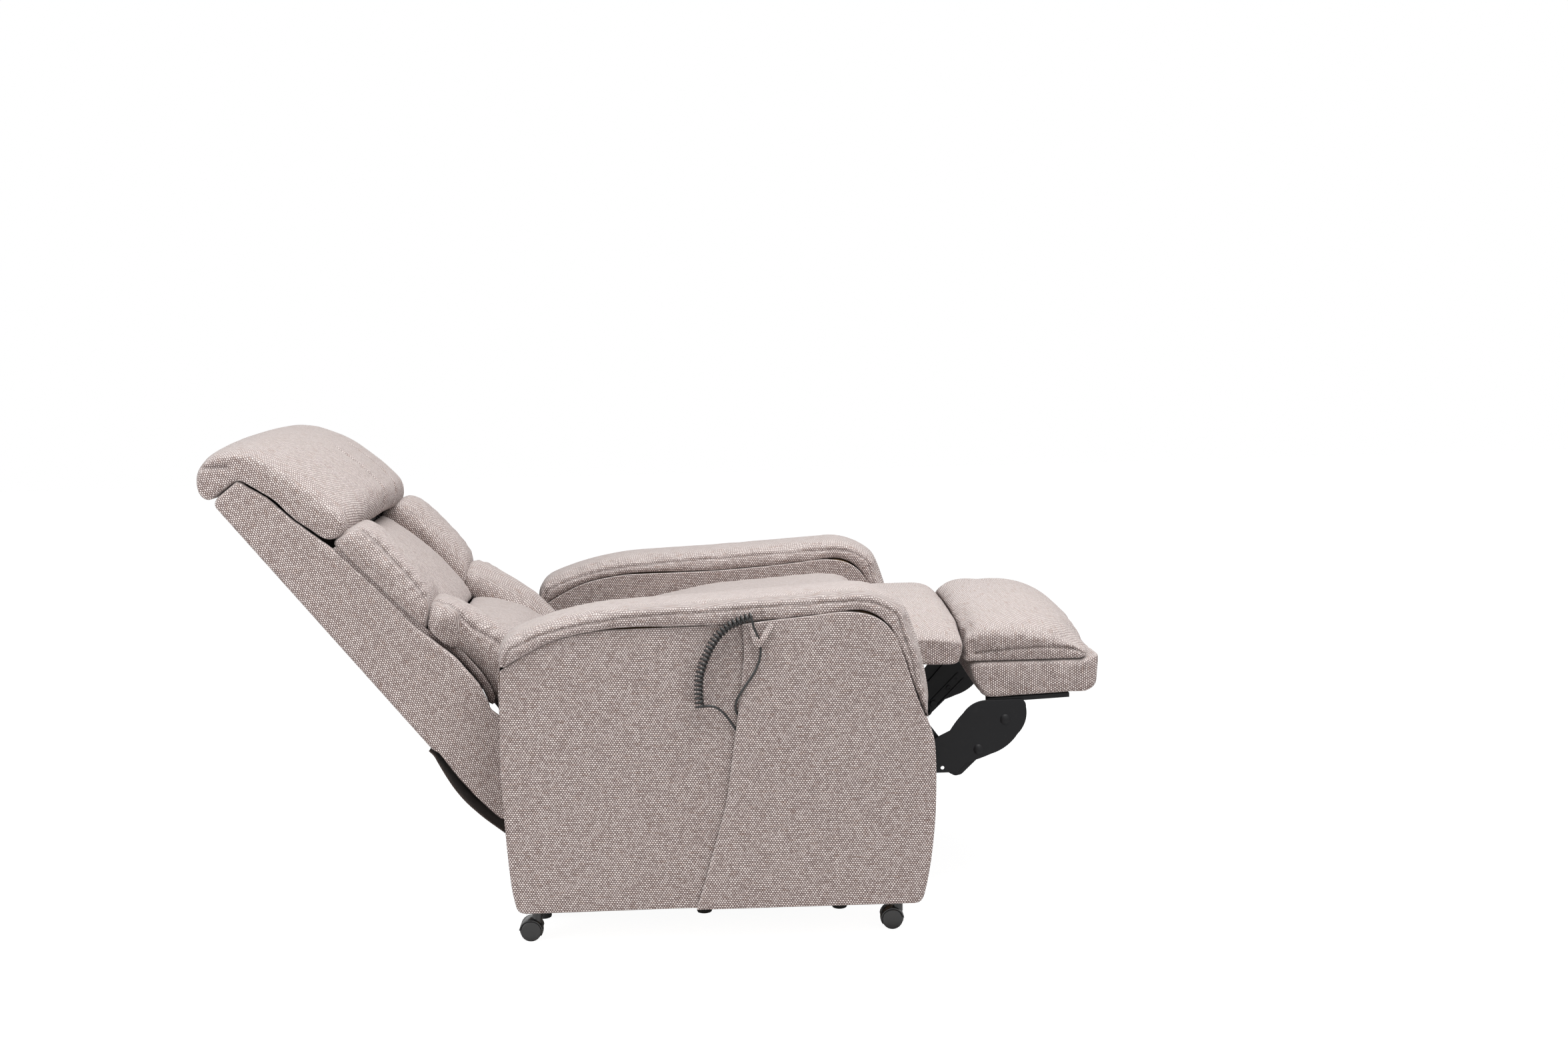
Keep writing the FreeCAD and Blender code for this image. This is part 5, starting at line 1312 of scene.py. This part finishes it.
@dataclass
class Arms:
    """Both arms: their panels, their padded bands, the side pocket and the loop of the cord."""

    face: float = 406.0
    rear_face: float = 394.0
    core: float = 388.0
    band_face: float = 405.0
    band_inner: float = 266.0
    overlap: float = 20.0
    band_top: tuple[Pair, ...] = ((266, 508), (263, 532), (254, 549), (230, 562), (185, 580),
                                  (130, 593), (78, 600), (27, 605), (-60, 610), (-150, 614),
                                  (-250, 620), (-339, 623), (-384, 621), (-414, 613), (-436, 601),
                                  (-449, 589), (-462, 550), (-474, 507), (-482, 450), (-488, 395))

    def panels(self, side: int, word: str) -> None:
        """Makes the rear, front and inner panels of one arm.

        Args:
            side: -1 for the sitter's right arm, 1 for the left.
            word: The side as a word, for the names.
        """
        lapped = tuple((y - self.overlap, z) for y, z in FREE_EDGE)[::-1]
        seam_front = tuple(p for p in BAND_SEAM if p[0] < -170) + ((-163, 572),)
        seam_rear = ((-183, 574),) + tuple(p for p in BAND_SEAM if p[0] > -170)
        join = Seam(tuple((side * self.rear_face * MM, y * MM, z * MM)
                          for y, z in ((-166, 568), (-167, 545), (-167, 520), (-163, 497))),
                    *SEWN["join"])
        Panel("outer_panel_rear_" + word, side, lapped, REAR_EDGE, seam_rear, self.rear_face,
              self.core, 2.4, seams=(join,)).build()
        Panel("outer_panel_front_" + word, side, FRONT_EDGE, FREE_EDGE[::-1], seam_front, self.face,
              self.core, 2.4, step_in=112.0).build()
        Panel("inner_panel_" + word, side, FRONT_EDGE, REAR_EDGE, BAND_SEAM, 265.0, 273.0,
              0.0).build()

    def facings(self, side: int, word: str) -> None:
        """Makes the cloth over the front and rear edges of one arm.

        Args:
            side: -1 for the sitter's right arm, 1 for the left.
            word: The side as a word, for the names.
        """
        shares = np.linspace(0, 1, 13)
        crown = 2.2 * (1 - (2 * shares - 1) ** 4) + 0.3
        front = (*FRONT_EDGE, (-482, 397))
        rear = (*REAR_EDGE[:-1], (265.6, 465), (264.8, 500), (258, 512))
        for end, edge, outer, inward in (("front", front, 403, 1.0), ("rear", rear, 391, -1.0)):
            line = smooth_line(edge, 4)
            across = side * (268 + (outer - 268) * shares)
            rows = list(zip(line, beside(line) * inward))
            points = [(x * MM, *((p - n * c) * MM)) for p, n in rows for x, c in zip(across, crown)]
            points += [(x * MM, *((p + n * 1.7) * MM)) for p, n in rows for x in across]
            item = mesh_of("arm_facing_%s_%s" % (end, word), points,
                           closed_sheet(len(line), len(shares)))
            lay_weave(item)
            dressed(item, Finish.COVER)
            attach(item, "chassis")

    def band(self, side: int, word: str, stitching: Stitching) -> None:
        """Makes the padded border band of one arm with its topstitched edge.

        Args:
            side: -1 for the sitter's right arm, 1 for the left.
            word: The side as a word, for the names.
            stitching: Collects the row of topstitches.
        """
        line = smooth_line(self.band_top, 5)
        inner = line - beside(line) * 14.0
        top_row, far_row = (tuple((side * x * MM, float(y) * MM, float(z) * MM) for y, z in inner)
                            for x in (self.band_face, self.band_inner))
        join = tuple((side * self.band_face * MM, y * MM, z * MM)
                     for y, z in ((-196, 616), (-197, 604), (-198, 590), (-199, 578)))
        seams = (Seam(top_row, *SEWN["band_edge"]), Seam(far_row, *SEWN["band_edge"]),
                 Seam(join, *SEWN["band_join"]))
        item = Padding("arm_pad_" + word, "chassis", ("arm_frame_" + word, "inner_panel_" + word),
                       0.0065, 0.005, seams=seams, walls=(((side * 0.2652, 0, 0), (-side, 0, 0)),),
                       fill=0.7).build()
        stitching.gather(item, "chassis", top_row[2:-2])

    def loop(self) -> None:
        """Makes the folded cloth strap that holds the cord at the band."""
        y, z = -194.0, 568.0
        path = smooth_line(((-408, y + 15, z + 3), (-412, y + 13, z - 8), (-419.5, y + 9, z - 20),
                            (-420, y + 4, z - 29), (-420.5, y - 4, z - 21), (-413, y - 13, z - 8),
                            (-408, y - 21, z + 3)), 6)
        tangent = tangents(path)
        wide = np.cross(tangent, np.tile((-1.0, 0.0, 0.0), (len(path), 1)))
        wide /= np.linalg.norm(wide, axis=1)[:, None]
        thick = np.cross(wide, tangent)
        ring = [(5.5, 0), (5.2, 0.8), (2, 1.0), (-2, 1.0), (-5.2, 0.8), (-5.5, 0), (-5.2, -0.8),
                (-2, -1.0), (2, -1.0), (5.2, -0.8)]
        points = [(p + w * a + t * b) * MM for p, w, t in zip(path, wide, thick) for a, b in ring]
        item = mesh_of("cord_loop_strap", points, tube_faces(len(path), len(ring)))
        lay_weave(item, slope=55.0, flat=True)
        dressed(item, Finish.COVER)
        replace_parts(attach(item, "chassis"), "cord_loop")

    def pocket(self) -> None:
        """Makes the lining bag of the side pocket, slack between its corners."""
        points = []
        levels, turns = 24, 48
        middle_x, middle_y, bottom, height = -365, -281, 187.5, 189.0
        half_x, half_y, squareness = 22.6, 36.6, 0.35
        for r in range(levels + 1):
            belly = math.sin(math.pi * r / levels)
            draw = 0.6 + 0.4 * min(1.0, r / 2.0)
            for k in range(turns):
                a = 2 * math.pi * k / turns
                c, s = math.cos(a), math.sin(a)
                x = half_x * math.copysign(abs(c) ** squareness, c)
                y = half_y * math.copysign(abs(s) ** squareness, s)
                y -= 1.2 * belly * math.sin(5 * a + r)
                points.append(((middle_x + x * draw) * MM, (middle_y + y * draw) * MM,
                               (bottom + height * r / levels) * MM))
        item = mesh_of("pocket_bag", points, tube_faces(levels + 1, turns, open_end=True))
        wall = item.modifiers.new("cloth", "SOLIDIFY")
        wall.thickness = 0.0014
        wall.offset = -1
        settled(item)
        lay_weave(item)
        dressed(item, Finish.LINING)
        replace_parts(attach(item, "chassis"), "handset_pocket")

    def build(self, stitching: Stitching) -> None:
        """Makes everything of both arms.

        Args:
            stitching: Collects the rows of topstitches.
        """
        for side, word in SIDES:
            self.panels(side, word)
            self.facings(side, word)
            self.band(side, word, stitching)
        self.loop()
        self.pocket()


# Back, seat and footrest


@dataclass
class Upholstery:
    """Cushions, pads and bolsters of back, headrest, seat and footrest."""

    stitching: Stitching
    slope: float = 90.0 - BACK_LEAN

    def headrest(self) -> None:
        """Makes the headrest pad with its two stitched channels."""
        channel = ((52, 184), (91, 194), (130, 199), (156, 201), (178, 188), (186, 168))
        dart = ((-58, 30), (-44, 48), (-30, 66))
        seams = [Seam.through([back_point(x, *p) for p in line], kind)
                 for kind, line, half in (("channel", channel, 54), ("dart", dart, BACK_HALF_WIDTH))
                 for x in (-half, half)]
        item = Padding("headrest_pad", "headrest", ("headrest_bracket",), 0.006, 0.004, self.slope,
                       seams=tuple(seams), ends=(0.0, 10.0), fill=0.8).build()
        for seam in seams[:2]:
            self.stitching.gather(item, "headrest", seam.line)

    def back(self) -> None:
        """Makes the bolsters and middle pads of the back."""
        edges = {"upper": ((205, 183), (250, 184), (300, 184), (350, 183), (372, 178)),
                 "lower": ((388, 182), (420, 194), (447, 198), (474, 203), (508, 216), (560, 226),
                           (610, 222))}
        wide = {"upper": 288, "lower": 264}
        fences = {"upper": ((0, 303), (700, 303)),
                  "lower": ((0, 300), (420, 292), (455, 276), (480, 264), (700, 264))}
        drawn = {"upper": (7.0, 1.5), "lower": (1.5, 4.0)}
        for side, word in SIDES:
            for tier, places in edges.items():
                seam = Seam.through([back_point(side * wide[tier], *p) for p in places], "bolster")
                Padding("bolster_%s_%s" % (tier, word), "back", ("back_shell",), 0.006, 0.007,
                        self.slope, seams=(seam,), fence=fences[tier], ends=drawn[tier],
                        fill=0.8).build()
        for tier, ends in (("upper", (14.0, 2.0)), ("lower", (2.0, 0.0))):
            Padding("back_pad_" + tier, "back", ("back_shell",), 0.006, 0.009, self.slope,
                    ends=ends, fill=0.8).build()

    def gussets(self) -> None:
        """Makes the strips of cover that close the joints between shell and bolsters, darkened all
        over with painted shade.
        """
        rim = smooth_line(((200, 110, 284), (245, 115.5, 284), (290, 121, 284), (350, 126, 284),
                           (410, 130, 283), (450, 138, 268), (490, 146, 257), (555, 146, 257),
                           (600, 134, 257)), 6)
        turns = 12
        for side, word in SIDES:
            points = []
            for row, (down, out, x) in enumerate(rim):
                swell = 1.0 if 0 < row < len(rim) - 1 else 0.4
                for k in range(turns):
                    angle = 2 * math.pi * k / turns
                    points.append(back_point(side * (x + 4.0 * swell * math.cos(angle)), down,
                                             out + 1.0 + 8.0 * swell * math.sin(angle)))
            item = mesh_of("bolster_gusset_" + word, points, tube_faces(len(rim), turns))
            # Painted shade: the whole strip is darkened as if it lay in the shadow under the
            # bolsters
            shade = item.data.attributes.new("painted_shade", "FLOAT", "POINT")
            shade.data.foreach_set("value", [0.55] * len(points))
            lay_weave(item, slope=self.slope, flat=True)
            dressed(item, Finish.COVER)
            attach(item, "back")

    def shell(self) -> None:
        """Makes the cloth-covered outside back."""
        seams = tuple(Seam.through([back_point(x, down, 1) for down in (20, 200, 400, 590)],
                                   "join", 10) for x in (-BACK_HALF_WIDTH, BACK_HALF_WIDTH))
        Padding("back_shell", "back", (), 0.005, 0.0, self.slope, seams=seams, refine=0,
                fill=0.2).build()

    def seat(self) -> None:
        """Makes the seat cushion and the pads of the chaise and footrest."""
        sides = (((-0.2625, 0, 0), (-1, 0, 0)), ((0.2625, 0, 0), (1, 0, 0)))
        Padding("seat_cushion", "seat", ("seat_frame", "seat_springs"), 0.0095, 0.010, walls=sides,
                fill=0.7).build()
        Padding("chaise_pad", "seat", ("seat_frame",), 0.006, 0.005, walls=sides, turned=True,
                barrel=0.1003, fill=0.75).build()
        edge = ((-590, 480), (-640, 485), (-700, 488), (-750, 486), (-792, 479))
        seams = tuple(Seam.through([(x, y * MM, z * MM) for y, z in edge], "footrest", 8)
                      for x in (-0.259, 0.259))
        item = Padding("footrest_pad", "footrest", ("footrest_board",), 0.006, 0.005, turned=True,
                       seams=seams, hollow=0.1008, fill=0.8).build()
        for seam in seams:
            self.stitching.gather(item, "footrest", seam.line)
        Padding("footrest_board", "footrest", ("footrest_brackets", "footrest_pad"), 0.006, 0.003,
                turned=True, nudges=((-816, 458, 13, -3, 12),), fill=0.4).build()

    def apron(self) -> None:
        """Makes the loose cloth between the back and the rear cross tube."""
        profile = smooth_line(((410, 336), (401, 326), (393, 310), (381, 287), (366, 262),
                               (348, 239), (330, 221), (312, 205), (288, 186), (263, 166)), 4)
        rows = len(profile)
        columns = 61
        wide, narrow, tube_front = 285.0, 261.0, 272
        outside = -beside(profile)
        points = []
        for r, ((y, z), (ny, nz)) in enumerate(zip(profile, outside)):
            half = wide if y > tube_front else narrow
            for c in range(columns):
                x = half * (2 * c / (columns - 1) - 1)
                wave = 0.7 * math.sin(x / 31 + r * 0.09) * math.sin(math.pi * r / (rows - 1))
                points.append((x * MM, (y + ny * wave) * MM, (z + nz * wave) * MM))
        faces = [(a, a + 1, a + columns + 1, a + columns)
                 for a in (r * columns + c for r in range(rows - 1) for c in range(columns - 1))]
        item = mesh_of("rear_apron_cloth", points, faces)
        wall = item.modifiers.new("cloth", "SOLIDIFY")
        wall.thickness = 0.0022
        wall.offset = 0
        settled(item)
        lay_weave(item)
        dressed(item, Finish.APRON)
        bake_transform(item)
        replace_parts(item, "rear_apron")

    def build(self) -> None:
        """Makes every piece."""
        self.headrest()
        self.back()
        self.gussets()
        self.shell()
        self.seat()
        self.apron()


# Cords


@dataclass
class HandsetCord:
    """Cord of the handset: from the arm through its loop, in curls, and on to the handset."""

    x: float = -415.5
    slot_x: float = -397.0
    handset_x: float = -360.0
    arm_front: float = -498.0
    diameter: float = 4.0
    round_up: float = 1.08
    curl_radius: float = 6.5
    curls: float = 26.5
    spine: tuple[Pair, ...] = ((-86, 429), (-82, 470), (-94, 512), (-116, 553), (-146, 579),
                               (-180, 587))
    per_turn: int = 16

    def upper_route(self) -> list[Triple]:
        """Route points from the curls through the loop and the pocket mouth into the arm, mm.

        Returns:
            The points, from the curls to the end inside the arm.
        """
        x, slot = self.x, self.slot_x
        rows = ((x - 6, 314.6, 567.5), (x - 4.3, 311.5, 560.5), (x - 2.3, 308.3, 553.5),
                (x - 0.8, 305.8, 546), (x, 304.2, 538), (x + 0.3, 303.6, 527), (x + 1, 305.5, 512),
                (x + 2.5, 311.5, 496), (x + 4, 321, 480), (x + 5.5, 332, 465),
                (x + 7.2, 342.5, 449.5), (slot - 6, 349.5, 434.5), (slot - 0.8, 351, 420),
                (slot, 346, 409), (slot, 336, 402.5), (slot + 1.2, 323, 401), (slot + 8, 311, 404),
                (slot + 19, 302, 411), (slot + 35, 297, 420), (slot + 53, 297, 429),
                (slot + 75, 300, 436), (slot + 99, 301, 440))
        route = [(-422.0, -180.9, 581.1), (-422.0, -181.9, 574.7)]
        route += [(a, self.arm_front + forward, z) for a, forward, z in rows]
        return route + [(-273.0, self.arm_front + 301, 441)]

    def lower_route(self) -> list[Triple]:
        """Route points from the curls through the pocket mouth down to the handset, mm.

        Returns:
            The points, from the curls to the handset.
        """
        x, slot, end = self.x, self.slot_x, self.handset_x
        rows = ((x + 8.5, 381, 426), (x + 11.5, 370, 415), (x + 15, 361, 402), (slot - 1, 354, 389),
                (slot, 345, 378), (slot + 0.5, 333, 370), (slot + 4, 319, 365),
                (slot + 11, 305, 366), (slot + 20, 291, 371), (slot + 28, 277, 378),
                (slot + 34, 264, 386), (end, 250, 392), (end, 237, 391), (end, 226, 383))
        route = [(-409.0, -91.9, 429.8), (-409.0, -103.8, 431.4)]
        route += [(a, self.arm_front + forward, z) for a, forward, z in rows]
        return route + [(end, -280, 371), (end, -281, 359.5), (end, -281, 348.3)]

    def spline(self, name: str, points: Sequence[Triple]) -> bpy.types.Curve:
        """Open NURBS curve whose control points are the given points, mm.

        Args:
            name: Name of the curve.
            points: Control points, mm.

        Returns:
            The curve.
        """
        curve = bpy.data.curves.new(name, "CURVE")
        curve.dimensions = "3D"
        spline = curve.splines.new("NURBS")
        spline.points.add(len(points) - 1)
        for point, place in zip(spline.points, points):
            point.co = (place[0] * MM, place[1] * MM, place[2] * MM, 1.0)
        spline.order_u = 3
        spline.use_endpoint_u = True
        curve.resolution_u = 8
        return curve

    def curl_points(self) -> list[Triple]:
        """Points of the curls about the spine's own curve, from below, mm.

        Returns:
            The points, per_turn of them to each turn.
        """
        holder = linked("spine_line", self.spline("spine_line",
                                                  [(self.x, y, z) for y, z in self.spine]))
        graph = bpy.context.evaluated_depsgraph_get()
        mesh = bpy.data.meshes.new_from_object(holder.evaluated_get(graph))
        line = np.array([v.co for v in mesh.vertices], float) / MM
        bpy.data.objects.remove(holder)
        bpy.data.meshes.remove(mesh)
        count = int(self.curls * self.per_turn)
        middle = at_lengths(line, np.linspace(0, lengths(line)[-1], count + 1))
        middle[:, 1:] += np.array([self.spine[0]]) - middle[0, 1:]
        tangent = tangents(middle)
        outward = np.array((-1.0, 0.0, 0.0))
        side = np.cross(tangent, outward)
        turn = math.pi + 2 * math.pi * np.arange(count + 1) / self.per_turn
        curled = (middle + outward * (self.curl_radius * np.cos(turn))[:, None]
                  + side * (self.curl_radius * np.sin(turn))[:, None])
        return [tuple(map(float, p)) for p in curled]

    def build(self) -> None:
        curls = self.curl_points()
        route = self.upper_route()[::-1] + curls[::-1][1:-1] + self.lower_route()
        curve = self.spline("handset_cord", route)
        curve.bevel_depth = self.diameter / 2 * self.round_up * MM
        curve.bevel_resolution = 2
        curve.resolution_u = 2
        curve.use_fill_caps = True
        item = linked("handset_cord", curve)
        dressed(item, Finish.CORD)
        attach(item, "chassis")
        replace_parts(item, "handset_curly_cord", "handset_lead_lower", "handset_lead_upper")


# Mechanism


def bevelled(node: str, name: str, width: float, finish: Finish) -> None:
    """Copy of a rigid CAD node with rounded edges, in place of the node.

    Args:
        node: CAD node.
        name: Name of the new piece.
        width: Width of the bevel, metres.
        finish: Its finish.
    """
    item = merged_copy(node, name)
    shape = bmesh.new()
    shape.from_mesh(item.data)
    bmesh.ops.dissolve_limit(shape, angle_limit=math.radians(1.0), verts=shape.verts,
                             edges=shape.edges)
    shape.to_mesh(item.data)
    shape.free()
    edge = item.modifiers.new("edges", "BEVEL")
    edge.limit_method = "ANGLE"
    edge.angle_limit = math.radians(38)
    edge.width = width
    edge.segments = 2
    settled(item)
    dressed(item, finish)
    faces = item.data.polygons
    faces.foreach_set("use_smooth", [f.area <= PLANE_AREA or len(f.vertices) <= 4 for f in faces])
    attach(item, FRAME["body_of"][node])
    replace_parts(item, node)


@dataclass
class Mechanism:
    """Steel parts, castors and feet that show, with softened edges."""

    bracket_face: float = 247.4
    bar: tuple[Pair, Pair] = ((-563, 268), (-634, 340))

    def joined(self, shape: bmesh.types.BMesh, side: int,
               rows: list[list[tuple[np.ndarray, float]]], around: bool) -> list:
        """Adds rows of points on the inside of a bracket, joined row to row.

        Args:
            shape: Mesh that they are added to.
            side: -1 for the sitter's right, 1 for the left.
            rows: Rows of ((y, z) place, rise over the bracket), mm.
            around: Whether the last row is joined to the first.

        Returns:
            The vertices, row by row.
        """
        made = [[shape.verts.new((side * (self.bracket_face - rise) * MM, *(spot * MM)))
                 for spot, rise in row] for row in rows]
        for low, high in zip(made, made[1:] + (made[:1] if around else [])):
            for k in range(len(low)):
                after = (k + 1) % len(low)
                shape.faces.new((low[k], low[after], high[after], high[k]))
        return made

    def fittings(self) -> None:
        """Makes the ribs, the ring rivet and the bolt head inside each footrest bracket."""
        (y_low, z_low), (y_high, z_high) = self.bar
        foot = np.array((y_low, z_low))
        along = np.array((y_high - y_low, z_high - z_low), float)
        along /= np.linalg.norm(along)
        aside = np.array((-along[1], along[0]))
        discs = ((0.08, 0.0, 8.0, 0.0, 4.2, 6), (0.55, 0.0, 5.6, 3.4, 2.2, 28),
                 (0.8, 0.0, 2.6, 0.0, 1.4, 16))
        rib = ((4, 0.4, 0.0), (10, 2.2, 2.4), (88, 2.2, 2.4), (94, 0.4, 0.0))
        for side, word in SIDES:
            shape = bmesh.new()
            for share, shift, outer, inner, height, turns in discs:
                centre = foot + along * share * 100 + aside * shift
                hole = max(inner, 0.1)
                circle = [np.array((math.cos(a), math.sin(a)))
                          for a in (2 * math.pi * k / turns for k in range(turns))]
                profile = ((outer, 0.0), (outer, height * 0.8), (outer * 0.9, height),
                           (hole, height), (hole, 0.2))
                self.joined(shape, side, [[(centre + radius * spot, rise) for spot in circle]
                                          for radius, rise in profile], True)
            for shift in (-8.5, 8.5):
                made = self.joined(shape, side, [
                    [(foot + along * share + aside * (shift + b), x)
                     for b, x in ((-width, 0.0), (-width / 2, rise), (width / 2, rise),
                                  (width, 0.0))]
                    for share, width, rise in rib], False)
                shape.faces.new(made[0])
                shape.faces.new(made[-1][::-1])
            bmesh.ops.recalc_face_normals(shape, faces=shape.faces)
            mesh = bpy.data.meshes.new("bracket_fittings_" + word)
            shape.to_mesh(mesh)
            shape.free()
            item = linked("bracket_fittings_" + word, mesh)
            dressed(item, Finish.STEEL, smooth=False)
            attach(item, "footrest")

    def build(self) -> None:
        """Makes the finished copies of the nodes that show most."""
        self.fittings()
        for node, width in (("cover_plates", 0.0009), ("cover_bolts", 0.0006),
                            ("footrest_brackets", 0.0007)):
            bevelled(node, node + "_finished", width, Finish.STEEL)
        bevelled("base_feet", "base_feet_finished", 0.0025, Finish.RUBBER)
        for place in ("rear_right", "rear_left", "front_right", "front_left"):
            for part, width in (("hood", 0.0012), ("wheels", 0.0018)):
                node = "castor_%s_%s" % (part, place)
                bevelled(node, node + "_finished", width, Finish.CASTOR)


# Studio


@dataclass
class Studio:
    """Camera at the photograph's viewing angle, soft light, and a plain pale floor."""

    eye: Triple = (-3.4372, -0.1525, 1.1083)
    pitch: float = 6.756
    yaw: float = 1.660
    roll: float = -1.397
    lens: float = 40.56
    world_light: float = 0.32
    floor_tone: float = 0.8
    floor_glow: float = 1.25
    floor_glow_share: float = 0.76

    def camera(self) -> None:
        """Makes the camera and makes it the scene's."""
        pitch, yaw, roll = (math.radians(v) for v in (self.pitch, self.yaw, self.roll))
        ahead = Vector((math.cos(yaw) * math.cos(pitch), -math.sin(yaw) * math.cos(pitch),
                        -math.sin(pitch)))
        right = ahead.cross(Vector((0, 0, 1))).normalized()
        up = right.cross(ahead)
        side = right * math.cos(roll) + up * math.sin(roll)
        top = -right * math.sin(roll) + up * math.cos(roll)
        data = bpy.data.cameras.new("photo_view")
        data.lens = self.lens
        data.sensor_width = 36.0
        data.sensor_fit = "HORIZONTAL"
        data.clip_start = 0.05
        data.clip_end = 60
        item = linked("photo_view", data)
        turn = Matrix((side, top, -ahead)).transposed().to_4x4()
        item.matrix_world = Matrix.Translation(self.eye) @ turn
        bpy.context.scene.camera = item

    def lamp(self, name: str, place: Triple, aim: Triple, size: float, power: float) -> None:
        """Adds a soft square lamp that looks from a place towards an aim.

        Args:
            name: Name of the lamp.
            place: Where it stands, metres.
            aim: Point that it looks at, metres.
            size: Side of the square, metres.
            power: Power, watts.
        """
        data = bpy.data.lights.new(name, "AREA")
        data.shape = "SQUARE"
        data.size = size
        data.energy = power
        turn = (Vector(aim) - Vector(place)).to_track_quat("-Z", "Y")
        linked(name, data).matrix_world = Matrix.Translation(place) @ turn.to_matrix().to_4x4()

    def backdrop(self) -> None:
        """Lights the world evenly and shows it white behind the chair."""
        world = bpy.data.worlds.new("studio")
        bpy.context.scene.world = world
        world.use_nodes = True
        tree = world.node_tree
        tree.nodes.clear()
        nodes = {name: tree.nodes.new("ShaderNode" + kind) for name, kind in (
            ("path", "LightPath"), ("seen", "Math"), ("seen_too", "Math"), ("light", "Background"),
            ("shown", "Background"), ("mix", "MixShader"), ("out", "OutputWorld"))}
        for name, strength in (("light", self.world_light), ("shown", 1.0)):
            nodes[name].inputs["Strength"].default_value = strength
            nodes[name].inputs["Color"].default_value = (1, 1, 1, 1)
        nodes["seen"].operation = nodes["seen_too"].operation = "MAXIMUM"
        for start, output, end, socket in (
                ("path", "Is Camera Ray", "seen", 0), ("path", "Is Glossy Ray", "seen", 1),
                ("seen", 0, "seen_too", 0), ("path", "Is Transmission Ray", "seen_too", 1),
                ("seen_too", 0, "mix", 0), ("light", 0, "mix", 1), ("shown", 0, "mix", 2),
                ("mix", 0, "out", 0)):
            tree.links.new(nodes[start].outputs[output], nodes[end].inputs[socket])

    def floor(self) -> None:
        """Makes the pale floor, which shows white and keeps the chair's shadow."""
        item = mesh_of("studio_floor", [(-9, -9, 0), (9, -9, 0), (9, 9, 0), (-9, 9, 0)],
                       [(0, 1, 2, 3)])
        chain = NodeChain("studio_floor_paint")
        chain.shade({"Base Color": (*[self.floor_tone] * 3, 1.0), "Roughness": 0.9})
        seen = chain.add("ShaderNodeLightPath").outputs["Is Camera Ray"]
        glow = chain.add("ShaderNodeEmission")
        chain.link(self.floor_glow, glow, "Strength")
        share = chain.math("MULTIPLY", seen, self.floor_glow_share)
        mix = chain.add("ShaderNodeMixShader", share, chain.shader.outputs[0], glow.outputs[0])
        chain.link(mix.outputs[0], chain.tree.nodes["Material Output"], 0)
        item.data.materials.append(chain.material)

    def build(self) -> None:
        """Makes the lamps, the backdrop and the floor."""
        self.backdrop()
        self.floor()
        self.lamp("key_lamp", (-0.9, -0.9, 3.4), (0, -0.1, 0.4), 2.4, 137)
        self.lamp("side_lamp", (-4.2, -2.2, 1.5), (0, 0.1, 0.5), 2.2, 16)
        self.lamp("head_lamp", (-1.3, 1.9, 0.95), (-0.25, 0.5, 0.65), 1.4, 18)
        bpy.context.scene.view_settings.view_transform = "Standard"


def dress_nodes() -> None:
    """Gives every CAD node the finish of its material slot."""
    for row in FRAME["record"]["subparts"]:
        node = FRAME["nodes"][row["node"]]
        node.data.materials.clear()
        node.data.materials.append(SLOT_FINISH[row["material_slot"]].material())


def main() -> None:
    """Builds every piece around the frame."""
    logging.basicConfig(level=logging.INFO, format="%(message)s")
    bpy.ops.object.select_all(action="SELECT")
    bpy.ops.object.delete()
    FRAME.update(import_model())
    FRAME["body_of"] = {node: body for body, nodes in FRAME["record"]["behaviour"]["bodies"].items()
                        for node in nodes}
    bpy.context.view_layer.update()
    studio = Studio()
    studio.camera()
    dress_nodes()
    HandsetCord().build()
    stitching = Stitching()
    Arms().build(stitching)
    Upholstery(stitching).build()
    Mechanism().build()
    stitching.sew()
    studio.build()
    bpy.context.view_layer.update()


if __name__ == "__main__":
    main()
